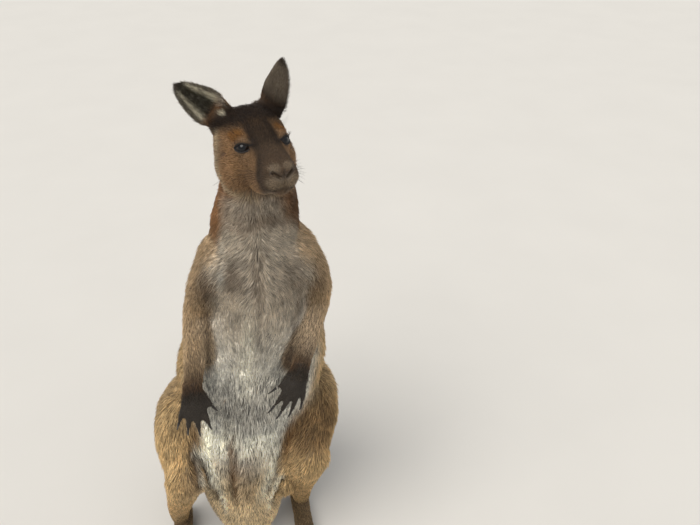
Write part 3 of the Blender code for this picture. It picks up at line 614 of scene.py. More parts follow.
def patched(base, c, points, patches):
    """The base colour with soft patches over it."""
    for name, strength, centre, radii, soft in patches:
        base = mixed(base, c[name], strength * blob(points, centre, radii, soft))
    return base


def layered(base, c, *layers):
    """The base colour with the named colours over it, each by its share."""
    for name, share in layers:
        base = mixed(base, c[name], share)
    return base


def plain(colour, count):
    """One colour for this many points."""
    return np.tile(colour, (count, 1))


def markings(points, normals, colours):
    """The colour of the coat at each point, from the named colours."""
    c = {name: np.array(getattr(colours, name)[:]) for name in KangarooColours.__annotations__}
    up = upright(points)
    ahead, rough = -normals[:, 1], waver(points, 0.060, 3) * 0.012
    front = ramp(ahead, 0.05, 0.65)
    made = mixed(plain(c["back"], len(points)), c["flank"], ramp(ahead, -0.5, 0.2) * 0.7)
    bib = bib_share(up, front, rough)
    made = mixed(made, chest_colours(up, rough, c), bib)
    made = pouch_and_neck(made, up, front, ahead, rough, bib, c)
    made = leg_colours(made, up, ahead, rough, c)
    made = foot_and_tail_colours(made, up, -normals[:, 2], rough, c)
    made = arm_colours(made, up, rough, c)
    # Painted shade along the folds between the arms and the trunk.
    for path in ARM_FOLDS:
        made = mixed(made, c["crease_shade"], 0.60 * fold(up, path, 0.0060) * ramp(ahead, 0.0, 0.5))
    # Each groin fold: a cream painted highlight on the swell beside it, and painted shade in the fold.
    for path in GROIN:
        beside = up + (math.copysign(0.011, path[0][0]), 0, 0)
        made = layered(
            made, c,
            ("cream", 0.70 * fold(beside, path, 0.0070) * front),
            ("crease_shade", 0.95 * fold(up, path, 0.0048) * front),
        )
    return head_markings(points, in_head(points), normals @ np.array(HEAD_ROUND), c, made)


def bib_share(up, front, rough):
    """Where the pale coat of throat, chest and belly shows."""
    x, y, z = up.T
    half = np.interp(z, *BIB_OUTLINE)
    soft = 1 - 0.55 * ramp(z, 0.90, 0.95)
    off = abs(x + 0.008 * ramp(z, 0.88, 0.95))
    wide = 0.030 * soft + 0.014 * ramp(z, 0.88, 0.94)
    return front * (1 - ramp(off + rough * soft, half - 0.010 * soft, half + wide)) * (y < 0.05)


def chest_colours(up, rough, c):
    """The front of the trunk, pale and grizzled, and paler still low down."""
    z = up[:, 2]
    raised = up + (0, 0, 1) * rough[:, None]
    chest = mixed(plain(c["chest"], len(up)), c["belly"], 1 - ramp(z, 0.56, 0.76))
    chest = patched(chest, c, up, CHEST_PATCHES)
    chest = mixed(chest, c["chest_dark"], 0.40 * ramp(z, 0.915, 0.945))
    chest = patched(chest, c, up, ARMPIT_PATCHES)
    chest = patched(chest, c, raised, COLLAR_PATCHES)
    chest = mixed(chest, c["groin"], 0.90 * (1 - ramp(z + rough, 0.300, 0.430)))
    chest = patched(chest, c, raised, CREAM_PATCHES)
    # Long soft bands of lighter and darker coat run down the front.
    bands = waver(up * (1, 0.3, 0.30), 0.020, 11) + 0.7 * waver(up * (1, 0.3, 0.45), 0.011, 12)
    return np.clip(chest * (1 + 0.13 * bands[:, None]), 0, 1)


def pouch_and_neck(made, up, front, ahead, rough, bib, c):
    """The parting down the chest, painted shade in and beside the fold of the pouch, and the brown sides of
    the neck with painted shade on the left one.
    """
    x, _, z = up.T
    part = ridge_of(x + 0.008, 0.005) * ramp(z, 0.74, 0.80) * (1 - ramp(z, 0.86, 0.90)) * front
    collar = ramp(z, 0.83, 0.93) * (1 - bib) * (0.55 + 0.45 * ramp(ahead, -0.7, 0.0))
    return layered(
        made, c,
        ("chest_dark", 0.7 * part),
        # Painted shade in and beside the pouch's fold.
        ("fold_shade", 0.95 * fold(up + (0.3, 0, 0) * rough[:, None], POUCH, 0.011) * front),
        ("fold_shade", 0.45 * fold(up - (0.024, 0, 0), POUCH[1:], 0.026) * front),
        ("neck_side", 0.90 * collar),
        # Painted shade: darker brown on the neck's left side only.
        ("neck_shade_side", 0.85 * collar * ramp(x, 0.005, 0.035)),
    )


def leg_colours(made, up, ahead, rough, c):
    """Thighs and hips: golden, with painted shade as a brown band along the inner edge and over the upper
    left thigh.
    """
    x, _, z = up.T
    side = abs(x)
    inner = np.where(x > 0, 0.060, 0.098)
    thigh = np.maximum(
        blob(up, (0.130, -0.050, 0.345), (0.110, 0.140, 0.165), 0.6),
        blob(up, (-0.150, -0.030, 0.360), (0.085, 0.110, 0.170), 0.7),
    )
    above = ramp(z, 0.44, 0.52) * ramp(ahead, 0.2, 0.7)
    thigh *= ramp(side + rough, inner - 0.012, inner + 0.014) * (1 - above)
    # Painted shade in the fold between each thigh and the belly, as a brown band along the thigh's inner
    # edge.
    rims = ridge_of(side + 0.5 * rough - inner - 0.016, 0.014) * thigh * ramp(z, 0.33, 0.40)
    made = layered(made, c, ("thigh", 0.95 * thigh * ramp(ahead, -0.6, 0.3)), ("fold_shade", 0.85 * rims))
    made = patched(made, c, up, GROIN_SHADE)
    bands = waver(up * (0.6, 0.6, 0.35), 0.026, 13)
    made = made * (1 + 0.13 * bands * thigh)[:, None]
    hip = ramp(side, 0.095, 0.135) * ramp(z, 0.20, 0.32) * (1 - ramp(z, 0.58, 0.74)) * (1 - thigh)
    return mixed(made, c["thigh"], 0.70 * hip * ramp(ahead, -0.9, -0.1))


def foot_and_tail_colours(made, up, below, rough, c):
    """Shanks, dark feet with black toes and soles, and a tail that is pale beneath and dark at its end."""
    x, y, z = up.T
    side = abs(x)
    shank = (1 - ramp(z, 0.22, 0.33)) * ramp(side, 0.085, 0.105) * (1 - ramp(y, 0.10, 0.15))
    foot = (1 - ramp(z, 0.050, 0.085)) * ramp(side, 0.09, 0.10) * (1 - ramp(y, 0.12, 0.15))
    tail = ramp(y, 0.16, 0.26) * (1 - ramp(z, 0.24, 0.40))
    return layered(
        made, c,
        ("shank", shank),
        ("shank_dark", 0.75 * foot),
        ("paw", foot * (1 - ramp(y + rough, -0.130, -0.060))),
        ("paw", foot * ramp(below, 0.5, 0.8)),
        ("belly", 0.7 * tail * ramp(below, 0.0, 0.7) * (1 - ramp(y, 0.45, 0.8))),
        ("tail_end", tail * ramp(y, 0.50, 0.92)),
    )


def arm_colours(made, up, rough, c):
    """Grey-brown arms, darkening to black hands."""
    for elbow, wrist, fingers in ARM_LINES.values():
        upper, _ = to_segment(up, (math.copysign(0.066, elbow[0]), -0.010, 0.850), elbow)
        lower, along = to_segment(up, elbow, wrist)
        hand, _ = to_segment(up, wrist, fingers)
        reach = (up - np.array(wrist)) @ unit(np.array(wrist) - np.array(elbow)) + rough
        made = layered(
            made, c,
            ("arm", 0.8 * (1 - ramp(np.minimum(upper, lower), 0.032, 0.045))),
            ("arm_dark", (1 - ramp(lower, 0.030, 0.042)) * ramp(along, 0.50, 1.0)),
            ("paw", (1 - ramp(hand, 0.034, 0.044)) * ramp(reach, -0.012, 0.012)),
        )
    return made


def head_markings(points, head, facing, c, made):
    """The colours of face, jaw and crown laid over those of the body."""
    x, y, z = head.T
    side = abs(x)
    on = blob(head, (0, -0.015, 0.0), (0.090, 0.135, 0.085), 0.25)
    on *= 1 - ramp(-(z + 0.25 * y), 0.060, 0.082)
    face = plain(c["cheek"], len(head))
    mirror = head * np.where(x < 0, -1, 1)[:, None] ** np.array((1, 0, 0))
    snout = 1 - ramp(y - np.interp(z, *SNOUT_REAR), -0.006, 0.008)
    bridge = (1 - ramp(side, 0.015, 0.027)) * ramp(z, 0.000, 0.016) * (1 - ramp(y, -0.035, 0.000))
    crown = ramp(z + 0.20 * y - 0.20 * side, 0.020, 0.046) * ramp(y, -0.045, -0.005)
    jaw = ramp(side, 0.046, 0.058) * ramp(y, -0.012, 0.012) * (1 - ramp(z, 0.036, 0.050))
    face = layered(
        face, c,
        ("muzzle", np.maximum(snout, bridge)),
        ("crown", 0.55 * bridge * ramp(y, -0.075, -0.045)),
        ("muzzle_dark", 0.70 * groove(mirror, SNOUT_LINE, 0.0060)),
        ("crown", crown),
        ("crown", 0.85 * groove(mirror, BROW_LINE, 0.0075)),
        ("jaw_pale", 0.75 * ramp(-z, 0.044, 0.062)),
        ("jaw_pale", 0.55 * jaw),
        ("jaw_edge", np.where(x < 0, 0.90, 0.45) * groove(mirror, JAW_LINE, 0.0062)),
    )
    beyond = ramp(y - np.interp(z, *HEAD_REAR), 0.008, 0.016)
    # The nape: the neck's brown, with painted shade on its left side.
    nape = mixed(plain(c["neck_side"], len(head)), c["neck_shade_side"], ramp(x, 0.005, 0.030))
    face = mixed(face, nape, 0.85 * beyond * (1 - ramp(z, 0.010, 0.040)))
    for own in (head, head * (-1, 1, 1)):
        face = patched(face, c, own, BROW_PATCHES)
        face = patched(face, c, own - np.array(EYE_SEAT), EYE_PATCHES)
        # A dark band round each eye: the lids' own dark skin, widened as painted shade under the brow.
        lined, far = eye_opening(own, 1.35)
        face = mixed(face, c["rim"], (1 - ramp(lined, 1.00, 1.45)) * (1 - ramp(far, 0.020, 0.026)))
        face = patched(face, c, own, NOSE_PATCHES)
        # Painted shade in the nostrils and along the mouth's line.
        mouth_line_shade = 0.8 * groove(own, LIPS, 0.0022)
        face = layered(face, c, ("nose_groove_shade", groove(own, NOSTRIL, 0.0026)), ("nose_groove_shade", mouth_line_shade))
    # Painted shade down the philtrum.
    face = mixed(face, c["nose_groove_shade"], 0.75 * groove(head, PHILTRUM, 0.0022))
    face = patched(face, c, head, CHIN_PATCHES)
    for own in (head, head * (-1, 1, 1)):
        face = patched(face, c, own, EAR_ROOT_PATCHES)
    face = patched(face, c, head, EAR_TUFT_PATCHES)
    made = mixed(made, face, on)
    for tag in SIDES:
        share = ear_share(points, tag)
        made = mixed(made, ear_colours(points, facing @ np.array(HEAD_ROUND).T, tag, c), share)
    return made


def ear_colours(points, normals, side, c):
    """Grey-brown outside, dark inside with a pale fringe, and dark at root, rim and tip."""
    hollow = inside_ear(points, normals, side)
    (root, tip), along = ear_axes(side), along_ear(points, side)
    back = mixed(plain(c["ear_back"], len(points)), c["crown"], 1 - ramp(along, 0.25, 0.50))
    level = unit(np.cross(tip - root, ear_opening(side)))
    edge = abs((points - root) @ level) / (0.0300 * np.clip(1.10 - along, 0.02, 1) ** 0.65)
    cup = plain(c["ear_inner"], len(points))
    cup = mixed(cup, c["ear_fringe"], 0.50 * ramp(edge, 0.35, 0.90) * (1 - ramp(along, 0.74, 0.92)))
    base = root + ear_opening(side) * 0.015 + unit(tip - root) * 0.017
    cup = mixed(cup, c["ear_fringe"], 0.60 * blob(points, base, (0.009, 0.009, 0.006), 0.8))
    leaf = mixed(back, cup, hollow)
    leaf = mixed(leaf, c["crown"], ramp(along, 0.84, 0.96) * 0.8)
    return mixed(leaf, c["crown"], 0.8 * hollow * ramp(edge, 0.90, 1.02))


# ---- the finished skin ---------------------------------------------------------------------------------
LID_THICK, LID_RIM, SOCKET_DEPTH = 0.0013, 0.0012, 0.0030
# Each cut: how deep and how wide it is, then how high and how wide the swell beside it is.
NOSTRIL_CUT = (0.0078, 0.0023, 0.0018, 0.0058)
LIP_CUT = (0.0022, 0.0016, 0.0010, 0.0055)
GROIN_CUT = (0.0075, 0.0052, 0.0022, 0.0120)
POUCH_CUT, POUCH_SWELL, POUCH_SIDE = (0.0075, 0.008), (0.0045, 0.014), (0.022, 0, 0)
PHILTRUM_CUT = (0.0016, 0.0014)


def cut(points, path, sizes, shape):
    """How far the skin sinks along a path, less the swell beside it."""
    depth, width, swell, reach = sizes
    return depth * shape(points, path, width) - swell * shape(points, path, reach)


def lidded(own):
    """Skin round the left eye drawn into two lids, and behind the eyeball between them."""
    opening, far = eye_opening(own)
    ray = unit(own - np.array(EYE_SEAT))
    lid = EYE_RADIUS + LID_THICK + LID_RIM * ridge_of(opening - 1.12, 0.16)
    lid -= LID_RIM * ridge_of(opening - 1.50, 0.13)
    share = ramp(opening, 0.86, 1.02)
    wanted = (EYE_RADIUS - SOCKET_DEPTH) * (1 - share) + np.maximum(far, lid) * share
    near = (opening < 3.0) & (far < 0.026)
    fade = (1 - ramp(opening, 2.0, 2.9))[:, None] * near[:, None]
    return own * (1 - fade) + (np.array(EYE_SEAT) + ray * wanted[:, None]) * fade


def carve(mesh):
    """Lids, nostrils, lips and chin on the head, and the folds between belly, pouch and thighs."""
    co, out = places(mesh), facings(mesh)
    head = in_head(co)
    look = out @ np.array(HEAD_ROUND)
    for sign in (1, -1):
        flip = np.array((sign, 1, 1))
        own, way = head * flip, look * flip
        close = np.linalg.norm(own - np.array((0, -0.08, -0.01)), axis=1) < 0.09
        sunk = cut(own, NOSTRIL, NOSTRIL_CUT, groove) + cut(own, LIPS, LIP_CUT, groove)
        own -= way * (sunk * close * (own[:, 0] > -0.0002))[:, None]
        own = lidded(own)
        half = head[:, 0] * sign >= 0
        head[half] = (own * flip)[half]
    depth, width = PHILTRUM_CUT
    head -= look * (depth * groove(head, PHILTRUM, width))[:, None]
    co = head @ np.array(HEAD_ROUND).T + np.array(HEAD_MIDDLE)
    up = upright(co)
    front = ramp(-out[:, 1], 0.2, 0.6)
    (depth, width), (swell, reach) = POUCH_CUT, POUCH_SWELL
    sunk = depth * fold(up, POUCH, width) - swell * fold(up + POUCH_SIDE, POUCH, reach)
    sunk -= swell * fold(up - POUCH_SIDE, POUCH, reach)
    for path in GROIN:
        sunk += cut(up, path, GROIN_CUT, fold)
    co -= out * (sunk * front)[:, None]
    co[:, 2] = np.maximum(co[:, 2], 0.0)
    put_places(mesh, co)


def dressed(obj, colours):
    """Draws the skin in by the coat's depth, carves it and writes the coat's layers on it."""
    mesh = obj.data
    co, out = places(mesh), facings(mesh)
    depth = eased(coat_field(co, out)[1][:, 1:2], edges_of(mesh), 6)
    put_places(mesh, co - out * depth)
    x, y, z = EYE_SEAT + EYE_OUT * 0.010
    spots = [(on_head(sign * x, y, z), 0.026, 2) for sign in (1, -1)]
    spots += [(on_head(0, -0.112, -0.020), 0.034, 1), (on_head(0, -0.118, -0.010), 0.020, 2)]
    spots += [(on_head(sign * 0.028, -0.080, -0.037), 0.022, 1) for sign in (1, -1)]
    split_near(mesh, spots)
    carve(mesh)
    co, out = places(mesh), facings(mesh)
    lie, made = coat_field(co, out)
    put_layer(mesh, "lie", "FLOAT_VECTOR", lie)
    put_layer(mesh, "coat_lift", "FLOAT", np.radians(made[:, 2]))
    length, density = coat_growth(co, out, made[:, 0])
    put_layer(mesh, "coat_length", "FLOAT", length)
    put_layer(mesh, "coat_density", "FLOAT", density)
    tint = markings(co, out, colours)
    put_layer(mesh, "coat_colour", "FLOAT_COLOR", np.hstack([tint, np.ones((len(co), 1))]))
    smooth(mesh)
    unwrap(obj)
    return obj


FULL_LENGTH, SHORT_LENGTH, CROWDING = 0.021, 0.004, 0.95  # shorter hair stands closer


def coat_growth(co, out, length):
    """How long and how dense the tufts stand: none inside the lids, nostrils or under the soles."""
    head, up = in_head(co), upright(co)
    density = (FULL_LENGTH / np.maximum(length, SHORT_LENGTH)) ** CROWDING
    for sign in (1, -1):
        own = head * (sign, 1, 1)
        opening, far = eye_opening(own)
        shut = (opening < 1.25) & (far < 0.019)
        length = np.where((opening < 2.2) & (far < 0.024), np.minimum(length, 0.0042), length)
        near = 1 - ramp(to_path(own, NOSTRIL), 0.0028, 0.0050)
        density = density * np.where(shut, 0, 1) * (1 - near)
    density *= 1 - 0.85 * groove(head, PHILTRUM, 0.0016)
    sole = ramp(-out[:, 2], 0.5, 0.8) * (1 - ramp(co[:, 2], 0.004, 0.012))
    density *= 1 - sole
    for _, wrist, fingers in ARM_LINES.values():
        hand, along = to_segment(up, wrist, fingers)
        length = length * (1 - 0.50 * (1 - ramp(hand, 0.040, 0.050)) * ramp(along, 0.0, 0.3))
    return length, density


def unwrap(obj):
    """A map of the skin's own shape, for the coat's roots."""
    bpy.context.view_layer.objects.active = obj
    for other in bpy.context.selected_objects:
        other.select_set(False)
    obj.select_set(True)
    obj.data.uv_layers.new(name="OFBake")
    bpy.ops.object.mode_set(mode="EDIT")
    bpy.ops.mesh.select_all(action="SELECT")
    bpy.ops.uv.smart_project(angle_limit=math.radians(66), island_margin=0.002)
    bpy.ops.object.mode_set(mode="OBJECT")


# ---- node trees ----------------------------------------------------------------------------------------
def add(tree, kind, inputs=None, **settings):
    """One node with its settings, its sockets fed by values or by other nodes' sockets."""
    node = tree.nodes.new(kind)
    for name, value in settings.items():
        setattr(node, name, value)
    for key, value in (inputs or {}).items():
        socket = node.inputs[key]
        if isinstance(value, bpy.types.NodeSocket):
            tree.links.new(value, socket)
        else:
            socket.default_value = value
    return node


def calculator(tree, kind="ShaderNodeMath"):
    """A function that adds a node of this kind to the tree, and gives what comes out of it."""

    def work(operation, a, b=0.0):
        return add(tree, kind, {0: a, 1: b}, operation=operation).outputs[0]

    return work


def scaled(tree, a, factor):
    return add(tree, "ShaderNodeVectorMath", {0: a, "Scale": factor}, operation="SCALE").outputs[0]


def noise(tree, place, scale, detail):
    return add(tree, "ShaderNodeTexNoise", {"Vector": place, "Scale": scale, "Detail": detail}).outputs["Fac"]


def blend(tree, share, first, second, **settings):
    """The first colour, or the second where the share is 1."""
    mix = add(tree, "ShaderNodeMix", {0: share, 6: first, 7: second}, data_type="RGBA", **settings)
    return mix.outputs[2]


def object_place(tree):
    return tree.nodes.new("ShaderNodeTexCoord").outputs["Object"]


def written(tree, name, output="Fac"):
    """What the piece's layer of this name holds."""
    return add(tree, "ShaderNodeAttribute", attribute_name=name).outputs[output]


# A tuft's corners, how far up it each is, its faces, and its patch on the coat's map.
TUFT_POINTS = ((0, 0, 0), (0.115, 0, 0.36), (0.070, 1, 0.34), (0.070, -1, 0.34), (0, 0, 1))
TUFT_FACES = ((0, 1, 2), (0, 3, 1), (0, 2, 3), (4, 2, 1), (4, 1, 3), (4, 3, 2))
TUFT_PATCH = ((0, -0.5, 0), (0.2, -0.14, 0), (0.5, -0.16, 0), (-0.5, -0.16, 0), (0, 0.5, 0))
PATCH_SIZE = 0.003


def spindle():
    """A single tuft along +Z: a thin closed spindle, widest a third of the way up and bowed towards +X."""
    mesh = bpy.data.meshes.new("tuft")
    mesh.from_pydata(TUFT_POINTS, [], TUFT_FACES)
    with edited(mesh) as bm:
        bmesh.ops.recalc_face_normals(bm, faces=bm.faces)
    put_layer(mesh, "along", "FLOAT", [z for _, _, z in TUFT_POINTS])
    put_layer(mesh, "patch", "FLOAT_VECTOR", TUFT_PATCH)
    smooth(mesh)
    obj = linked("tuft_shape", mesh)
    obj.hide_render = True
    return obj


COAT_SOCKETS = (
    ("Tuft", "NodeSocketObject", None), ("Density", "NodeSocketFloat", 1000.0),
    ("Seed", "NodeSocketInt", 1), ("Length", "NodeSocketFloat", 1.0),
    ("Width", "NodeSocketFloat", 0.001), ("Spread", "NodeSocketFloat", 0.2),
    ("Clumping", "NodeSocketFloat", 0.3), ("Clump size", "NodeSocketFloat", 0.02),
    ("Lock size", "NodeSocketFloat", 0.006), ("Finish", "NodeSocketMaterial", None),
)
# What differs from tuft to tuft: the least, the most, and what is added to the seed.
CHANCES = {
    "swing": (-1.0, 1.0, 11), "rise": (0.55, 1.45, 12), "length": (0.65, 1.3, 13), "width": (0.6, 1.4, 14),
    "tone": (0.26, 0.74, 15),
}
TONE_RANGE = 1.7  # how far the locks part into light and dark
WIDE_LENGTH = 0.02  # a tuft this long has its full width
COAT_LAYERS = {
    "lie": "FLOAT_VECTOR", "coat_lift": "FLOAT", "coat_length": "FLOAT", "coat_density": "FLOAT",
    "OFBake": "FLOAT_VECTOR", "patch": "FLOAT_VECTOR",
}


def coat_tree():
    """Grows tufts on the skin, each lying along the skin's lie, and makes them one mesh."""
    tree = bpy.data.node_groups.new("Coat growth", "GeometryNodeTree")
    sockets = tree.interface
    sockets.new_socket("Skin", in_out="INPUT", socket_type="NodeSocketGeometry")
    for name, kind, value in COAT_SOCKETS:
        made = sockets.new_socket(name, in_out="INPUT", socket_type=kind)
        if value is not None:
            made.default_value = value
    sockets.new_socket("Coat", in_out="OUTPUT", socket_type="NodeSocketGeometry")
    given = tree.nodes.new("NodeGroupInput").outputs
    maths, vector = calculator(tree), calculator(tree, "ShaderNodeVectorMath")

    def stored(name, kind):
        return add(tree, "GeometryNodeInputNamedAttribute", {"Name": name}, data_type=kind).outputs[0]

    def chance(name):
        low, high, offset = CHANCES[name]
        seed = add(tree, "FunctionNodeIntegerMath", {0: given["Seed"], 1: offset}, operation="ADD").outputs[0]
        drawn = add(tree, "FunctionNodeRandomValue", {2: low, 3: high, "Seed": seed}, data_type="FLOAT")
        return drawn.outputs[1]

    layer = {name: stored(name, kind) for name, kind in COAT_LAYERS.items()}
    thick = maths("MULTIPLY", given["Density"], layer["coat_density"])
    roots = add(
        tree, "GeometryNodeDistributePointsOnFaces",
        {"Mesh": given["Skin"], "Density": thick, "Seed": given["Seed"]}, distribute_method="RANDOM",
    )
    points, normal = roots.outputs["Points"], roots.outputs["Normal"]
    across = vector("CROSS_PRODUCT", normal, layer["lie"])
    place = tree.nodes.new("GeometryNodeInputPosition").outputs[0]
    fine = maths("DIVIDE", 1.0, given["Clump size"])
    waves = noise(tree, place, fine, 1.5)
    swing = maths("MULTIPLY", maths("SUBTRACT", waves, 0.5), maths("MULTIPLY", given["Clumping"], 4.0))
    swing = maths("ADD", swing, maths("MULTIPLY", given["Spread"], chance("swing")))
    rise = maths("MULTIPLY", layer["coat_lift"], chance("rise"))
    ahead = vector("ADD", layer["lie"], scaled(tree, across, swing))
    ahead = add(tree, "ShaderNodeVectorMath", {0: ahead}, operation="NORMALIZE").outputs[0]
    flat, risen = scaled(tree, ahead, maths("COSINE", rise)), scaled(tree, normal, maths("SINE", rise))
    way = vector("ADD", flat, risen)
    turn = add(tree, "FunctionNodeAlignRotationToVector", {"Vector": way}, axis="Z").outputs[0]
    turn = add(
        tree, "FunctionNodeAlignRotationToVector", {"Rotation": turn, "Vector": normal},
        axis="X", pivot_axis="Z",
    ).outputs[0]
    length = maths("MULTIPLY", layer["coat_length"], given["Length"])
    length = maths("MULTIPLY", length, chance("length"))
    width = maths("MULTIPLY", given["Width"], chance("width"))
    share = maths("DIVIDE", layer["coat_length"], WIDE_LENGTH)
    width = maths("MULTIPLY", width, maths("POWER", share, 0.5))
    size = add(tree, "ShaderNodeCombineXYZ", {0: length, 1: width, 2: length}).outputs[0]
    locks = noise(tree, place, maths("DIVIDE", 1.0, given["Lock size"]), 1.0)
    tone = maths("ADD", maths("MULTIPLY", maths("SUBTRACT", locks, 0.5), TONE_RANGE), chance("tone"))
    tone = add(tree, "ShaderNodeClamp", {"Value": tone}).outputs[0]
    for name, kind, value in (("tuft_tone", "FLOAT", tone), ("root_map", "FLOAT_VECTOR", layer["OFBake"])):
        points = add(
            tree, "GeometryNodeStoreNamedAttribute",
            {"Geometry": points, "Name": name, "Value": value}, data_type=kind, domain="POINT",
        ).outputs[0]
    shape = add(tree, "GeometryNodeObjectInfo", {"Object": given["Tuft"]}).outputs["Geometry"]
    tufts = add(
        tree, "GeometryNodeInstanceOnPoints",
        {"Points": points, "Instance": shape, "Rotation": turn, "Scale": size},
    ).outputs[0]
    coat = add(tree, "GeometryNodeRealizeInstances", {0: tufts}).outputs[0]
    spot = vector("ADD", stored("root_map", "FLOAT_VECTOR"), scaled(tree, layer["patch"], PATCH_SIZE))
    coat = add(
        tree, "GeometryNodeStoreNamedAttribute",
        {"Geometry": coat, "Name": "OFBake", "Value": spot}, data_type="FLOAT2", domain="CORNER",
    ).outputs[0]
    coat = add(tree, "GeometryNodeSetMaterial", {"Geometry": coat, "Material": given["Finish"]}).outputs[0]
    end = tree.nodes.new("NodeGroupOutput")
    tree.links.new(coat, end.inputs["Coat"])
    return tree


KEPT_LAYERS = {
    "coat_colour", "along", "tuft_tone", "OFBake", "position", "material_index", "sharp_face",
}
FLOOR_GAP = 0.0004  # no tuft hangs lower


def grown(name, skin, chosen, tufts, tree, values):
    """The tufts that grow on the chosen faces of the skin, as one plain mesh piece."""
    mesh = bpy.data.meshes.new(name)
    with edited(skin.data, mesh) as bm:
        drop = [f for f, keep in zip(bm.faces, chosen) if not keep]
        bmesh.ops.delete(bm, geom=drop, context="FACES")
    mesh.materials.clear()
    obj = linked(name, mesh)
    thick = np.empty(len(mesh.vertices), np.float32)
    mesh.attributes["coat_density"].data.foreach_get("value", thick)
    areas = read(mesh.polygons, "area", 1)
    corners = np.empty(len(mesh.loops), np.int32)
    mesh.loops.foreach_get("vertex_index", corners)
    total = float((areas * thick[corners.reshape(-1, 3)].mean(axis=1)).sum())
    grow = obj.modifiers.new("Coat", "NODES")
    grow.node_group = tree
    sockets = {s.name: s.identifier for s in tree.interface.items_tree if s.in_out == "INPUT"}
    for key, value in {**values, "Density": tufts / total}.items():
        grow[sockets[key]] = value
    settle(obj)
    co = places(obj.data)
    co[:, 2] = np.maximum(co[:, 2], FLOOR_GAP)
    put_places(obj.data, co)
    for layer in list(obj.data.attributes):
        if layer.name not in KEPT_LAYERS and not layer.name.startswith("."):
            obj.data.attributes.remove(layer)
    smooth(obj.data)
    return obj


# ---- finishes ------------------------------------------------------------------------------------------
def group(name, wanted, given):
    """A shader node group with these outputs and inputs, and its two end nodes."""
    tree = bpy.data.node_groups.new(name, "ShaderNodeTree")
    kinds = {"float": "NodeSocketFloat", "colour": "NodeSocketColor"}
    for socket, kind in wanted.items():
        tree.interface.new_socket(socket, in_out="OUTPUT", socket_type=kinds[kind])
    for socket, (kind, value) in given.items():
        tree.interface.new_socket(socket, in_out="INPUT", socket_type=kinds[kind]).default_value = value
    return tree, tree.nodes.new("NodeGroupInput").outputs, tree.nodes.new("NodeGroupOutput").inputs


PATCH_SCALE, BROAD_SCALE = 38.0, 9.0  # light and dark patches to a metre
FROST_COLOUR, FROST_GAIN = (0.10, 0.095, 0.085), 1.45  # added to the coat's own colour, and its brightening
FROST_FROM = 0.72  # tufts above this tone have frosted tips


def grizzle_group():
    """The coat's colour from its markings: dark roots, pale tips, tuft by tuft, with soft patches."""
    tree, given, made = group(
        "Grizzled coat",
        {"Colour": "colour", "Height": "float"},
        {"Root shade": ("float", 0.5), "Tip shade": ("float", 1.25), "Tuft contrast": ("float", 0.5),
         "Patch contrast": ("float", 0.25), "Frost": ("float", 0.3), "Hair size": ("float", 0.0012)},
    )
    maths = calculator(tree)
    coat = written(tree, "coat_colour", "Color")
    along, tone, place = written(tree, "along"), written(tree, "tuft_tone"), object_place(tree)
    patches, broad = noise(tree, place, PATCH_SCALE, 2.0), noise(tree, place, BROAD_SCALE, 1.0)
    hairs = noise(tree, place, maths("DIVIDE", 1.0, given["Hair size"]), 1.0)
    rise = maths("MULTIPLY", maths("SUBTRACT", given["Tip shade"], given["Root shade"]), along)
    shade = maths("ADD", given["Root shade"], rise)
    both = maths("ADD", maths("SUBTRACT", patches, 0.5), maths("SUBTRACT", broad, 0.5))
    for base, change, strength in (
        (1.0, maths("SUBTRACT", tone, 0.5), given["Tuft contrast"]),
        (1.0, both, given["Patch contrast"]),
        (0.85, hairs, 0.30),
    ):
        shade = maths("MULTIPLY", shade, maths("ADD", base, maths("MULTIPLY", change, strength)))
    frosted = maths("GREATER_THAN", tone, FROST_FROM)
    frost = maths("MULTIPLY", frosted, maths("MULTIPLY", along, given["Frost"]))
    pale = calculator(tree, "ShaderNodeVectorMath")("ADD", coat, FROST_COLOUR)
    colour = blend(tree, frost, scaled(tree, coat, shade), scaled(tree, pale, FROST_GAIN))
    tree.links.new(colour, made["Colour"])
    tree.links.new(maths("ADD", hairs, maths("MULTIPLY", patches, 0.5)), made["Height"])
    return tree


def finish(name, roughness, **constants):
    """A material with one Principled shader, whose plain sockets hold these constants."""
    material = bpy.data.materials.new(name)
    material.use_nodes = True
    tree = material.node_tree
    tree.nodes.clear()
    shader = tree.nodes.new("ShaderNodeBsdfPrincipled")
    shader.inputs["Roughness"].default_value = roughness
    for socket, value in constants.items():
        shader.inputs[socket.replace("_", " ")].default_value = value
    end = tree.nodes.new("ShaderNodeOutputMaterial")
    tree.links.new(shader.outputs[0], end.inputs["Surface"])
    return material, tree, shader


def coat_finish(name, shared, bump, values, roughness=0.75, **constants):
    """Fur or furred skin, from the shared grizzle group."""
    material, tree, shader = finish(name, roughness, **constants)
    coat = add(tree, "ShaderNodeGroup", node_tree=shared)
    for socket, value in values.items():
        coat.inputs[socket].default_value = value
    tree.links.new(coat.outputs["Colour"], shader.inputs["Base Color"])
    if bump:
        relief = {"Strength": 0.6, "Distance": bump, "Height": coat.outputs["Height"]}
        tree.links.new(add(tree, "ShaderNodeBump", relief).outputs[0], shader.inputs["Normal"])
    return material


PUPIL, EYE_RING = (0.002, 0.002, 0.003), (0.006, 0.004, 0.003)


